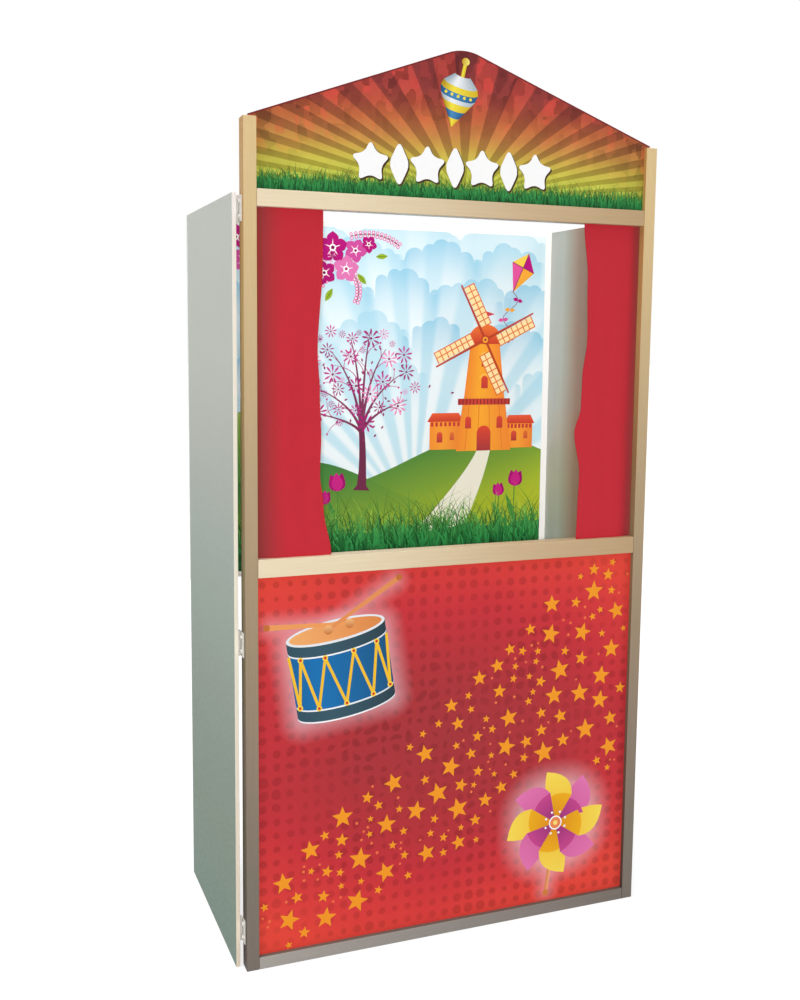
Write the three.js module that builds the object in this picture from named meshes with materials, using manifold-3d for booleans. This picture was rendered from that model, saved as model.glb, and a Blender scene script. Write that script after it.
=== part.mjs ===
// Puppet theater stand for children: a wooden front frame with a gabled board, a stage opening
// with two curtains, a lower front panel, two wings hinged behind the posts, and a backdrop
// board that hangs behind the wings and lifts off.
// Millimetres, +Z up. +Y runs from the audience to the puppeteer. The origin is on the floor,
// at the middle of the whole stand.
import * as THREE from "three";
import { mergeVertices } from "three/addons/utils/BufferGeometryUtils.js";
import Module from "manifold-3d";

const wasm = await Module();
wasm.setup();

// Fits that many pieces share
const fitGap = 0.3; // clearance between pieces that touch on the real stand
const cutOverrun = 5; // how far a cutter runs past the surface that it opens

// Front frame
const frameWidth = 700;
const postWidth = 20;
const postDepth = 25;
const bottomRailHeight = 20;
const middleRailHeight = 28;
const upperRailHeight = 25;
const sillHeight = 652; // top of the middle rail, where the stage opening starts
const stageOpeningHeight = 523; // from the sill to the underside of the upper rail
const postRise = 102; // posts above the upper rail

// Boards held in grooves of the frame
const panelRecess = 8; // from the front of the frame to the front of each board
const panelThickness = 6.5;
const postGrooveDepth = 11;
const lowerGrooveDepth = 6; // in the top of the bottom rail and the top of the upper rail
const sillGrooveDepth = 8; // in the underside of the middle rail
const pedimentPeakRise = 124; // above the tops of the posts
const pedimentEaveRise = 4; // ends of the gabled board above the tops of the posts
const pedimentPeakRadius = 75;

// Dowels between rails and posts
const dowelRadius = 3;
const dowelLength = 30;
const dowelPostDepth = 12;
const dowelChamfer = 0.8;
const dowelSetback = 12.5; // from the front of the frame
const bottomDowelHeight = 7;
const middleDowelDrop = 10; // below the top of the middle rail
const upperDowelDrop = 11.4; // below the top of the upper rail

// Wings
const wingGap = 6; // between a post's outer face and the wing's inner face
const wingThickness = 6.5;
const wingOverlap = 6; // how far the wing's front edge stands forward of the post's rear face
const wingDepth = 341;
const wingHeight = 1195;

// Hinges between posts and wings
const hingeHeight = 38;
const knuckleCount = 3;
const lowerHingeHeight = 60; // middle of the hinge above the floor
const middleHingeHeight = 520;
const upperHingeDrop = 23; // middle of the hinge below the top of the wing
const leafThickness = 1.2;
const postLeafWidth = 20;
const wingLeafWidth = 24;
const knuckleRadius = 2.5;
const pinRadius = 1.1;
const pinClearance = 0.35;
const pinHeadRadius = 1.9;
const pinHeadHeight = 0.8;
const hingeScrewSpacing = 22;
const hingeScrewSetback = 10; // from the hinge axis, forward
const screwRadius = 1.5;
const screwLength = 9.5; // under the head
const screwHeadRadius = 3;
const screwHeadHeight = 1.6;
const screwTipLength = 2;
const screwSlotWidth = 0.8;
const screwSlotDepth = 0.7;

// Press-in studs that hold fittings to the thin wings
const studRadius = 1.8;
const studLength = 4;
const wingLeafStudSetback = 14; // from the hinge axis, rearward

// Backdrop board and its fittings
const backdropThickness = 6;
const backdropBottomHeight = 550;
const backdropGap = 0.6; // from the wings' rear edges, so that these can swing clear
const ledgeThickness = 1.5;
const ledgeReach = 13.7; // inwards from the wing
const ledgeDrop = 29; // height of the leg on the wing
const ledgeForwardLength = 35; // along the wing, forward of its rear edge
const ledgeStudInset = 9;
const magnetRadius = 2;
const magnetLength = 10; // into the wing's rear edge
const magnetProud = 0.2; // its face behind the wing's rear edge
const magnetDrop = 60; // below the top of the wing
const strikeThickness = 1;

// Curtain track and gliders
const trackWidth = 10;
const trackHeight = 8;
const trackWall = 1.2;
const trackSlot = 4;
const trackSetback = 17; // from the front of the frame to the middle of the slot
const gliderClearance = 0.4;
const gliderLength = 10;
const gliderNeckWidth = 3;
const gliderFootHeight = 5;

// Curtains
const curtainMaxWidth = 118;
const curtainThickness = 1.2;
const curtainRoll = 5; // how far the outer edge curls back behind the face
const curtainRipple = 1.1; // depth of the soft waves
const rollWidthShare = 0.36; // share of the width in which the outer edge curls back
const rippleCount = 2.5;
const rippleGrowthShare = 0.5; // share of the drop over which the waves grow to full depth
const curtainColumns = 20;
const curtainRows = 26;
const gliderPlaceShares = [0.2, 0.82]; // along the curtain's head
// Free edge of each curtain: share of the drop, share of the greatest width
const leftEdgeShares = [
  [0, 0.877], [0.14, 0.873], [0.4, 0.809], [0.52, 0.84], [0.65, 0.86], [0.76, 0.845], [0.86, 0.895], [1, 1],
];
const rightEdgeShares = [
  [0, 0.917], [0.17, 0.842], [0.36, 0.818], [0.48, 0.88], [0.575, 0.89], [0.655, 0.983], [0.79, 0.887],
  [0.9, 0.903], [1, 0.914],
];

// Facets of round pieces
const pinSides = 12;
const dowelSides = 12;
const screwSides = 12;
const peakSegments = 10;

// Places that several pieces share
const halfFrame = frameWidth / 2;
const postInnerX = -halfFrame + postWidth;
const railLength = frameWidth - 2 * postWidth - 2 * fitGap;
const middleRailBottom = sillHeight - middleRailHeight;
const stageTopHeight = sillHeight + stageOpeningHeight;
const upperRailTop = stageTopHeight + upperRailHeight;
const postHeight = upperRailTop + postRise;
const grooveWidth = panelThickness + 2 * fitGap;
const grooveFrontY = panelRecess - fitGap;
const boardEndX = -halfFrame + postWidth - postGrooveDepth + fitGap;
const wingInnerX = -halfFrame - wingGap;
const wingFrontY = postDepth - wingOverlap;
const wingRearY = wingFrontY + wingDepth;
const hingeX = -halfFrame - wingGap / 2;
const hingeY = postDepth + fitGap + knuckleRadius;
const backdropFrontY = wingRearY + backdropGap;
const overallDepth = backdropFrontY + backdropThickness;
const backdropWidth = frameWidth + 2 * (wingGap + wingThickness);
const curtainTop = stageTopHeight - fitGap;
const curtainDrop = curtainTop - sillHeight - fitGap;
const dowelHeights = {
  bottom: bottomDowelHeight,
  middle: sillHeight - middleDowelDrop,
  upper: upperRailTop - upperDowelDrop,
};
const hingeCentres = [lowerHingeHeight, middleHingeHeight, wingHeight - upperHingeDrop];
const hingeScrewHeights = [-hingeScrewSpacing / 2, hingeScrewSpacing / 2];
const ledgeTop = backdropBottomHeight - fitGap;
const magnetX = wingInnerX - wingThickness / 2;
const magnetZ = wingHeight - magnetDrop;

// Materials, as seen
const wood = new THREE.MeshStandardMaterial({ color: 0xd8bd8c, roughness: 0.55, metalness: 0 });
const wingBoard = new THREE.MeshStandardMaterial({ color: 0xb4bab2, roughness: 0.5, metalness: 0 });
const redPanel = new THREE.MeshStandardMaterial({ color: 0xcf3336, roughness: 0.45, metalness: 0 });
const gablePrint = new THREE.MeshStandardMaterial({ color: 0xb8592f, roughness: 0.45, metalness: 0 });
const backdropPrint = new THREE.MeshStandardMaterial({ color: 0xcfe6ef, roughness: 0.45, metalness: 0 });
const curtainCloth = new THREE.MeshStandardMaterial({ color: 0xc42e3a, roughness: 0.85, metalness: 0 });
const steel = new THREE.MeshStandardMaterial({ color: 0xb9bcc0, roughness: 0.3, metalness: 1 });
const aluminium = new THREE.MeshStandardMaterial({ color: 0xc9ccd0, roughness: 0.4, metalness: 1 });
const whitePlastic = new THREE.MeshStandardMaterial({ color: 0xeeeeea, roughness: 0.5, metalness: 0 });
const beech = new THREE.MeshStandardMaterial({ color: 0xd9b88a, roughness: 0.7, metalness: 0 });

// A box with one corner at (x, y, z)
function boxAt(x, y, z, width, depth, height) {
  return new THREE.BoxGeometry(width, depth, height).translate(x + width / 2, y + depth / 2, z + height / 2);
}

// A cylinder along X from x to x + length
function rodAlongX(x, y, z, radius, length, sides) {
  return new THREE.CylinderGeometry(radius, radius, length, sides)
    .rotateZ(Math.PI / 2)
    .translate(x + length / 2, y, z);
}

// A cylinder along Y from y to y + length
function rodAlongY(x, y, z, radius, length, sides) {
  return new THREE.CylinderGeometry(radius, radius, length, sides).translate(x, y + length / 2, z);
}

// A cylinder along Z from z to z + length
function rodAlongZ(x, y, z, radius, length, sides) {
  return new THREE.CylinderGeometry(radius, radius, length, sides)
    .rotateX(Math.PI / 2)
    .translate(x, y, z + length / 2);
}

// A closed geometry as a solid for cutting and joining
function solidOf(geometry) {
  const bare = geometry.clone();
  bare.deleteAttribute("normal");
  bare.deleteAttribute("uv");
  const merged = mergeVertices(bare);
  return new wasm.Manifold(
    new wasm.Mesh({
      numProp: 3,
      vertProperties: merged.attributes.position.array,
      triVerts: new Uint32Array(merged.index.array),
    }),
  );
}

// The stock joined with the added geometries, less the cutters
function carved(stock, cutters = [], added = []) {
  let solid = solidOf(stock);
  for (const geometry of added) solid = solid.add(solidOf(geometry));
  for (const geometry of cutters) solid = solid.subtract(solidOf(geometry));
  const mesh = solid.getMesh();
  const geometry = new THREE.BufferGeometry()
    .setAttribute("position", new THREE.BufferAttribute(mesh.vertProperties, 3))
    .setIndex(new THREE.BufferAttribute(mesh.triVerts, 1));
  geometry.computeVertexNormals();
  return geometry;
}

function named(name, geometry, material) {
  const mesh = new THREE.Mesh(geometry, material);
  mesh.name = name;
  return mesh;
}

// The stock for a turned piece: its profile is [radius, height] pairs from end to end on the axis
function turned(profile, sides) {
  const points = profile.map(([radius, height]) => new THREE.Vector2(radius, height));
  return new THREE.LatheGeometry(points, sides).rotateX(Math.PI / 2);
}

// Cutter for a dowel, along X from x to x + length
function dowelHole(x, height, length) {
  return rodAlongX(x, dowelSetback, height, dowelRadius + fitGap, length, dowelSides);
}

// Left post: grooves for the boards, blind dowel holes inside and pilot holes for the hinges outside
function postGeometry() {
  const stock = boxAt(-halfFrame, 0, 0, postWidth, postDepth, postHeight);
  const grooveX = postInnerX - postGrooveDepth;
  const grooveLength = postGrooveDepth + cutOverrun;
  const lowerStart = bottomRailHeight - lowerGrooveDepth;
  const lowerEnd = middleRailBottom + sillGrooveDepth;
  const upperStart = upperRailTop - lowerGrooveDepth;
  const cutters = [
    boxAt(grooveX, grooveFrontY, lowerStart, grooveLength, grooveWidth, lowerEnd - lowerStart),
    boxAt(grooveX, grooveFrontY, upperStart, grooveLength, grooveWidth, postHeight - upperStart + cutOverrun),
  ];
  const holeDepth = dowelPostDepth + fitGap;
  for (const height of Object.values(dowelHeights)) {
    cutters.push(dowelHole(postInnerX - holeDepth, height, holeDepth + cutOverrun));
  }
  const pilotDepth = screwLength - leafThickness - fitGap;
  for (const centre of hingeCentres) {
    for (const offset of hingeScrewHeights) {
      cutters.push(
        rodAlongX(
          -halfFrame - cutOverrun, hingeY - hingeScrewSetback, centre + offset,
          screwRadius + fitGap, pilotDepth + cutOverrun, screwSides,
        ),
      );
    }
  }
  return carved(stock, cutters);
}

// A rail between the posts, with a dowel hole in each end and its own grooves
function railGeometry(bottom, height, dowelHeight, grooves) {
  const stock = boxAt(-railLength / 2, 0, bottom, railLength, postDepth, height);
  const holeDepth = dowelLength - dowelPostDepth + fitGap;
  const cutters = [
    dowelHole(-railLength / 2 - cutOverrun, dowelHeight, holeDepth + cutOverrun),
    dowelHole(railLength / 2 - holeDepth, dowelHeight, holeDepth + cutOverrun),
  ];
  return carved(stock, [...cutters, ...grooves]);
}

// A groove along a rail, from z to z + height
function railGroove(y, z, width, height) {
  return boxAt(-railLength / 2 - cutOverrun, y, z, railLength + 2 * cutOverrun, width, height);
}

function bottomRailGeometry() {
  const start = bottomRailHeight - lowerGrooveDepth;
  return railGeometry(0, bottomRailHeight, dowelHeights.bottom, [
    railGroove(grooveFrontY, start, grooveWidth, lowerGrooveDepth + cutOverrun),
  ]);
}

function middleRailGeometry() {
  return railGeometry(middleRailBottom, middleRailHeight, dowelHeights.middle, [
    railGroove(grooveFrontY, middleRailBottom - cutOverrun, grooveWidth, sillGrooveDepth + cutOverrun),
  ]);
}

function upperRailGeometry() {
  const trackGroove = trackWidth + 2 * fitGap;
  const trackGrooveRise = trackHeight + fitGap + cutOverrun;
  return railGeometry(stageTopHeight, upperRailHeight, dowelHeights.upper, [
    railGroove(grooveFrontY, upperRailTop - lowerGrooveDepth, grooveWidth, lowerGrooveDepth + cutOverrun),
    railGroove(trackSetback - trackGroove / 2, stageTopHeight - cutOverrun, trackGroove, trackGrooveRise),
  ]);
}

// An outline in the X-Z plane, thickened from y = 0 to y = depth
function boardFromOutline(shape, depth) {
  return new THREE.ExtrudeGeometry(shape, { depth, bevelEnabled: false, curveSegments: peakSegments })
    .rotateX(Math.PI / 2)
    .translate(0, depth, 0);
}

// Gabled board: its foot stands in the upper rail, its ends in the posts, and its peak is rounded
function pedimentGeometry() {
  const foot = upperRailTop - lowerGrooveDepth + fitGap;
  const eave = postHeight + pedimentEaveRise;
  const halfWidth = -boardEndX;
  // The slope that is tangent to the peak's round from the end of the board
  const arcCentre = postHeight + pedimentPeakRise - pedimentPeakRadius;
  const rise = arcCentre - eave;
  const reach = Math.hypot(halfWidth, rise);
  const slope = Math.asin(pedimentPeakRadius / reach) + Math.atan2(rise, halfWidth);
  const shape = new THREE.Shape();
  shape.moveTo(-halfWidth, foot);
  shape.lineTo(halfWidth, foot);
  shape.lineTo(halfWidth, eave);
  shape.absarc(0, arcCentre, pedimentPeakRadius, Math.PI / 2 - slope, Math.PI / 2 + slope, false);
  shape.lineTo(-halfWidth, eave);
  shape.closePath();
  return boardFromOutline(shape, panelThickness).translate(0, panelRecess, 0);
}

function lowerPanelGeometry() {
  const foot = bottomRailHeight - lowerGrooveDepth + fitGap;
  const top = middleRailBottom + sillGrooveDepth - fitGap;
  return boxAt(boardEndX, panelRecess, foot, -2 * boardEndX, panelThickness, top - foot);
}

// Dowel along X, with chamfered ends, from inside the post to inside the rail
function dowelGeometry(height) {
  const profile = [
    [0, 0], [dowelRadius - dowelChamfer, 0], [dowelRadius, dowelChamfer],
    [dowelRadius, dowelLength - dowelChamfer], [dowelRadius - dowelChamfer, dowelLength], [0, dowelLength],
  ];
  return turned(profile, dowelSides)
    .rotateY(Math.PI / 2)
    .translate(postInnerX - dowelPostDepth, dowelSetback, height);
}

// Wing board with blind holes for the studs of its fittings and for the magnet in its rear edge
function wingGeometry() {
  const stock = boxAt(wingInnerX - wingThickness, wingFrontY, 0, wingThickness, wingDepth, wingHeight);
  const hole = (y, z) =>
    rodAlongX(wingInnerX - studLength, y, z, studRadius + fitGap, studLength + cutOverrun, screwSides);
  const cutters = [];
  for (const centre of hingeCentres) {
    for (const offset of hingeScrewHeights) cutters.push(hole(hingeY + wingLeafStudSetback, centre + offset));
  }
  for (const [y, z] of ledgeStudPlaces()) cutters.push(hole(y, z));
  const magnetHoleDepth = magnetLength - magnetProud + fitGap;
  cutters.push(magnetHole(wingRearY - magnetHoleDepth, magnetHoleDepth + cutOverrun));
  return carved(stock, cutters);
}

// A stud that reaches from a fitting's back into the wing
function studAt(y, z) {
  const tip = wingInnerX - studLength + fitGap;
  return rodAlongX(tip, y, z, studRadius, studLength + leafThickness / 2, screwSides);
}

// Knuckles of a hinge at its centre height: the outer two belong to the post, the middle one to the wing
function knuckleSpans(centre) {
  const start = centre - hingeHeight / 2;
  const length = (hingeHeight - (knuckleCount - 1) * fitGap) / knuckleCount;
  return Array.from({ length: knuckleCount }, (_, index) => [start + index * (length + fitGap), length]);
}

// The pin's bore through all the knuckles of a hinge
function hingeBore(centre) {
  const length = hingeHeight + 2 * cutOverrun;
  return rodAlongZ(hingeX, hingeY, centre - length / 2, pinRadius + pinClearance, length, pinSides);
}

// Leaf screwed to the post's outer face, with the two outer knuckles
function postLeafGeometry(centre) {
  const x = -halfFrame - fitGap - leafThickness;
  const plateEnd = hingeY - knuckleRadius - fitGap;
  const plateStart = hingeY - postLeafWidth;
  const bottom = centre - hingeHeight / 2;
  const plate = boxAt(x, plateStart, bottom, leafThickness, plateEnd - plateStart, hingeHeight);
  const added = [];
  for (const [z, length] of [knuckleSpans(centre)[0], knuckleSpans(centre)[2]]) {
    added.push(boxAt(x, plateEnd - fitGap, z, leafThickness, hingeY - plateEnd + fitGap, length));
    added.push(rodAlongZ(hingeX, hingeY, z, knuckleRadius, length, pinSides));
  }
  const holes = hingeScrewHeights.map((offset) =>
    rodAlongX(
      x - cutOverrun, hingeY - hingeScrewSetback, centre + offset,
      screwRadius + fitGap, leafThickness + 2 * cutOverrun, screwSides,
    ),
  );
  return carved(plate, [hingeBore(centre), ...holes], added);
}

// Leaf pressed into the wing's inner face, with the middle knuckle
function wingLeafGeometry(centre) {
  const x = wingInnerX + fitGap;
  const plateStart = hingeY + knuckleRadius + fitGap;
  const plateDepth = wingLeafWidth - knuckleRadius - fitGap;
  const plate = boxAt(x, plateStart, centre - hingeHeight / 2, leafThickness, plateDepth, hingeHeight);
  const [z, length] = knuckleSpans(centre)[1];
  const added = [
    boxAt(x, hingeY, z, leafThickness, plateStart - hingeY + fitGap, length),
    rodAlongZ(hingeX, hingeY, z, knuckleRadius, length, pinSides),
    ...hingeScrewHeights.map((offset) => studAt(hingeY + wingLeafStudSetback, centre + offset)),
  ];
  return carved(plate, [hingeBore(centre)], added);
}

// Pin with a head at each end of the knuckles
function pinGeometry(centre) {
  const half = hingeHeight / 2 + fitGap;
  const profile = [
    [0, -half - pinHeadHeight], [pinHeadRadius, -half - pinHeadHeight], [pinHeadRadius, -half],
    [pinRadius, -half], [pinRadius, half],
    [pinHeadRadius, half], [pinHeadRadius, half + pinHeadHeight], [0, half + pinHeadHeight],
  ];
  return turned(profile, pinSides).translate(hingeX, hingeY, centre);
}

// Cross-slotted screw along X, head outside the post leaf
function screwGeometry(height) {
  const shank = screwLength - screwTipLength;
  const profile = [
    [0, -screwHeadHeight], [screwHeadRadius, -screwHeadHeight], [screwHeadRadius, 0],
    [screwRadius, 0], [screwRadius, shank], [0, screwLength],
  ];
  const slotLength = screwHeadRadius;
  const slotStart = -screwHeadHeight - cutOverrun;
  const slotRun = cutOverrun + screwSlotDepth;
  const slots = [
    boxAt(-slotLength / 2, -screwSlotWidth / 2, slotStart, slotLength, screwSlotWidth, slotRun),
    boxAt(-screwSlotWidth / 2, -slotLength / 2, slotStart, screwSlotWidth, slotLength, slotRun),
  ];
  const underHead = -halfFrame - fitGap - leafThickness - fitGap;
  return carved(turned(profile, screwSides), slots)
    .rotateY(Math.PI / 2)
    .translate(underHead, hingeY - hingeScrewSetback, height);
}

function ledgeStudPlaces() {
  const z = ledgeTop - ledgeDrop / 2;
  return [
    [wingRearY - ledgeForwardLength + ledgeStudInset, z],
    [wingRearY - ledgeStudInset, z],
  ];
}

// Angle bracket: a leg on the wing and a ledge that runs back under the backdrop
function ledgeGeometry() {
  const x = wingInnerX + fitGap;
  const y = wingRearY - ledgeForwardLength;
  const length = ledgeForwardLength + backdropGap + backdropThickness - fitGap;
  const leg = boxAt(x, y, ledgeTop - ledgeDrop, ledgeThickness, length, ledgeDrop);
  const shelf = boxAt(x, y, ledgeTop - ledgeThickness, ledgeReach, length, ledgeThickness);
  return carved(leg, [], [shelf, ...ledgeStudPlaces().map(([sy, sz]) => studAt(sy, sz))]);
}

// Cutter for a magnet or its strike plate, along Y from y to y + length
function magnetHole(y, length) {
  return rodAlongY(magnetX, y, magnetZ, magnetRadius + fitGap, length, screwSides);
}

function magnetGeometry() {
  const y = wingRearY + magnetProud - magnetLength;
  return rodAlongY(magnetX, y, magnetZ, magnetRadius, magnetLength, screwSides);
}

function strikeGeometry() {
  return rodAlongY(magnetX, backdropFrontY, magnetZ, magnetRadius, strikeThickness, screwSides);
}

// Backdrop board with a pocket for the strike plate opposite each magnet
function backdropGeometry() {
  const stock = boxAt(
    -backdropWidth / 2, backdropFrontY, backdropBottomHeight,
    backdropWidth, backdropThickness, wingHeight - backdropBottomHeight,
  );
  const pocket = () => magnetHole(backdropFrontY - cutOverrun, cutOverrun + strikeThickness + fitGap);
  return carved(stock, [pocket(), pocket().translate(-2 * magnetX, 0, 0)]);
}

// Slotted channel let into the underside of the upper rail
function trackGeometry() {
  const length = railLength - 2 * fitGap;
  const y = trackSetback - trackWidth / 2;
  const stock = boxAt(-length / 2, y, stageTopHeight, length, trackWidth, trackHeight);
  const x = -length / 2 - cutOverrun;
  const run = length + 2 * cutOverrun;
  const hollowWidth = trackWidth - 2 * trackWall;
  const hollowHeight = trackHeight - 2 * trackWall;
  const slotRise = cutOverrun + trackHeight / 2;
  return carved(stock, [
    boxAt(x, y + trackWall, stageTopHeight + trackWall, run, hollowWidth, hollowHeight),
    boxAt(x, trackSetback - trackSlot / 2, stageTopHeight - cutOverrun, run, trackSlot, slotRise),
  ]);
}

function smoothStep(t) {
  const c = Math.min(1, Math.max(0, t));
  return c * c * (3 - 2 * c);
}

// Width of a curtain at a share of its drop, eased between the pairs of its edge table
function curtainWidthAt(edgeShares, drop) {
  let index = 1;
  while (index < edgeShares.length - 1 && edgeShares[index][0] < drop) index += 1;
  const [d0, w0] = edgeShares[index - 1];
  const [d1, w1] = edgeShares[index];
  return curtainMaxWidth * (w0 + (w1 - w0) * smoothStep((drop - d0) / (d1 - d0)));
}

// Middle of the cloth behind the frame's front, at a share of the width and of the drop:
// the outer edge curls back, and soft waves grow from the head to the hem
function curtainSetback(across, drop) {
  const roll = 1 - smoothStep(across / rollWidthShare);
  const wave = (1 - Math.cos(2 * Math.PI * rippleCount * across + drop)) / 2;
  const growth = smoothStep(drop / rippleGrowthShare);
  return panelRecess + curtainThickness / 2 + curtainRoll * roll * roll + curtainRipple * wave * growth;
}

// Cloth of one curtain, from its outer edge by the post to its free edge
function curtainGeometry(edgeShares) {
  const outerX = postInnerX + fitGap;
  const positions = [];
  for (const side of [-1, 1]) {
    for (let row = 0; row <= curtainRows; row += 1) {
      const drop = row / curtainRows;
      const width = curtainWidthAt(edgeShares, drop);
      for (let column = 0; column <= curtainColumns; column += 1) {
        const across = column / curtainColumns;
        const y = curtainSetback(across, drop) + (side * curtainThickness) / 2;
        positions.push(outerX + across * width, y, curtainTop - drop * curtainDrop);
      }
    }
  }
  const stride = curtainColumns + 1;
  const layer = stride * (curtainRows + 1);
  const indices = [];
  const quad = (a, b, c, d) => indices.push(a, b, c, a, c, d);
  for (let row = 0; row < curtainRows; row += 1) {
    for (let column = 0; column < curtainColumns; column += 1) {
      const a = row * stride + column;
      quad(a, a + stride, a + stride + 1, a + 1);
      quad(layer + a, layer + a + 1, layer + a + stride + 1, layer + a + stride);
    }
  }
  for (let row = 0; row < curtainRows; row += 1) {
    const outer = row * stride;
    const free = outer + curtainColumns;
    quad(outer, layer + outer, layer + outer + stride, outer + stride);
    quad(free, free + stride, layer + free + stride, layer + free);
  }
  for (let column = 0; column < curtainColumns; column += 1) {
    const hem = curtainRows * stride + column;
    quad(column, column + 1, layer + column + 1, layer + column);
    quad(hem, layer + hem, layer + hem + 1, hem + 1);
  }
  const geometry = new THREE.BufferGeometry();
  geometry.setAttribute("position", new THREE.Float32BufferAttribute(positions, 3));
  geometry.setIndex(indices);
  geometry.computeVertexNormals();
  return geometry;
}

// Glider: a head in the track, a neck through its slot and a foot that meets the back of the cloth
function gliderGeometry(edgeShares, across) {
  const x = postInnerX + fitGap + across * curtainWidthAt(edgeShares, 0) - gliderLength / 2;
  const headWidth = trackWidth - 2 * trackWall - 2 * gliderClearance;
  const headBottom = stageTopHeight + trackWall + gliderClearance;
  const headHeight = trackHeight - 2 * trackWall - 2 * gliderClearance;
  const footTop = stageTopHeight - gliderClearance;
  const footBottom = footTop - gliderFootHeight;
  const halfShare = gliderLength / 2 / curtainWidthAt(edgeShares, 0);
  const clothBack = curtainSetback(across - halfShare, 0) + curtainThickness / 2 + fitGap;
  const neckStart = trackSetback - gliderNeckWidth / 2;
  const footEnd = trackSetback + gliderNeckWidth / 2;
  const foot = boxAt(x, clothBack, footBottom, gliderLength, footEnd - clothBack, gliderFootHeight);
  const neckHeight = headBottom - footBottom + gliderClearance;
  const neck = boxAt(x, neckStart, footBottom, gliderLength, gliderNeckWidth, neckHeight);
  const head = boxAt(x, trackSetback - headWidth / 2, headBottom, gliderLength, headWidth, headHeight);
  return carved(foot, [], [neck, head]);
}

// Everything that stands on one side. The right side is the left one mirrored.
function sideGroup(side, edgeShares) {
  const group = new THREE.Group();
  group.add(named(`${side}_post`, postGeometry(), wood));
  for (const [level, height] of Object.entries(dowelHeights)) {
    group.add(named(`${side}_${level}_dowel`, dowelGeometry(height), beech));
  }
  group.add(named(`${side}_wing`, wingGeometry(), wingBoard));
  hingeCentres.forEach((centre, index) => {
    const place = ["lower", "middle", "upper"][index];
    group.add(named(`${side}_${place}_hinge_post_leaf`, postLeafGeometry(centre), steel));
    group.add(named(`${side}_${place}_hinge_wing_leaf`, wingLeafGeometry(centre), steel));
    group.add(named(`${side}_${place}_hinge_pin`, pinGeometry(centre), steel));
    hingeScrewHeights.forEach((offset, screw) => {
      group.add(named(`${side}_${place}_hinge_screw_${screw + 1}`, screwGeometry(centre + offset), steel));
    });
  });
  group.add(named(`${side}_backdrop_ledge`, ledgeGeometry(), steel));
  group.add(named(`${side}_wing_magnet`, magnetGeometry(), steel));
  group.add(named(`${side}_strike_plate`, strikeGeometry(), steel));
  group.add(named(`${side}_curtain`, curtainGeometry(edgeShares), curtainCloth));
  gliderPlaceShares.forEach((across, index) => {
    group.add(named(`${side}_curtain_glider_${index + 1}`, gliderGeometry(edgeShares, across), whitePlastic));
  });
  return group;
}

const theater = new THREE.Group();
theater.name = "puppet_theater_stand";
theater.position.y = -overallDepth / 2;
theater.add(named("bottom_rail", bottomRailGeometry(), wood));
theater.add(named("middle_rail", middleRailGeometry(), wood));
theater.add(named("upper_rail", upperRailGeometry(), wood));
theater.add(named("pediment_board", pedimentGeometry(), gablePrint));
theater.add(named("lower_front_panel", lowerPanelGeometry(), redPanel));
theater.add(named("curtain_track", trackGeometry(), aluminium));
theater.add(named("backdrop_board", backdropGeometry(), backdropPrint));
theater.add(sideGroup("left", leftEdgeShares));
const rightSide = sideGroup("right", rightEdgeShares);
rightSide.scale.x = -1;
theater.add(rightSide);

export default theater;
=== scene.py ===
"""Looks of a children's puppet theater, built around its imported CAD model.

Pieces are in metres, in the CAD model's frame: X runs across the front, Y from the front to the
back, and Z up from the floor. Printed shapes are drawn in millimetres on X and Z, and are made
metres when they go into a mesh.
"""

import logging
import math
from collections.abc import Callable, Iterable
from dataclasses import dataclass, field
from enum import Enum
from functools import cache

import bmesh
import bpy
import numpy as np
from mathutils import Matrix, Vector


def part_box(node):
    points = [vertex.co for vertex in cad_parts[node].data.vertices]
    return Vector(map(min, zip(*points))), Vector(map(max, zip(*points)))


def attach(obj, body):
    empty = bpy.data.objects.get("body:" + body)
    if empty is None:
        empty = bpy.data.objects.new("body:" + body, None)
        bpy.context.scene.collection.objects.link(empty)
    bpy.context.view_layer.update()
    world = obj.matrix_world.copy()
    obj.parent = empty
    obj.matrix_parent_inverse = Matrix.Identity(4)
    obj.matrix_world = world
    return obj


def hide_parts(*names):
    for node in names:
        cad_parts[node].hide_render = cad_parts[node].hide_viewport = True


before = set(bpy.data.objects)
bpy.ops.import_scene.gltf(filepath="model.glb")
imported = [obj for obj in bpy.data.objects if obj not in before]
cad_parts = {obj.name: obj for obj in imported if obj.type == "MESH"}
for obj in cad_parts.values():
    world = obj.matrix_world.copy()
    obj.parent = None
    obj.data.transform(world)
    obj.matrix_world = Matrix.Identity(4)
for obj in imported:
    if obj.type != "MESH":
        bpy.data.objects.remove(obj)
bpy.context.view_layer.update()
MM = 0.001  # metres in a millimetre
NOISE = (0.3, 0.7)  # the range that a noise node's values mostly keep to
CLOSE = 2e-5  # metres within which two places on a board count as one
GAP = 0.25  # levels between two shapes that overlap, so that no two of their faces lie in one plane
LOG = logging.getLogger("puppet_theater")
Array, Mesh, Piece = np.ndarray, bpy.types.Mesh, bpy.types.Object
Node, Socket, Tree = bpy.types.Node, bpy.types.NodeSocket, bpy.types.NodeTree
Place = tuple[float, float, float]  # a place, direction or size on X, Y and Z
Stops = tuple[tuple[float, str], ...]  # places along a fade and their colours
Value = object  # a number, a tuple, a colour or a node's socket
Painter = Callable[[Array], Array]  # gives the colours (..., 4) of points (..., 2)


class Body(Enum):
    """The CAD bodies that pieces ride on."""

    FRAME = "front_frame"
    LEFT_WING = "left_wing"
    RIGHT_WING = "right_wing"
    BACKDROP = "backdrop"
    LEFT_CURTAIN = "left_curtain"
    RIGHT_CURTAIN = "right_curtain"


class Slot(Enum):
    """The record's material slots."""

    FRAME_WOOD = "frame_wood"
    WING_BOARD = "wing_board"
    GABLE_PRINT = "gable_print"
    PANEL_PRINT = "panel_print"
    BACKDROP_PRINT = "backdrop_print"
    CURTAIN = "curtain_cloth"


class Axis(Enum):
    """The frame's axes, as indices."""

    X = 0
    Y = 1
    Z = 2


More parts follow.
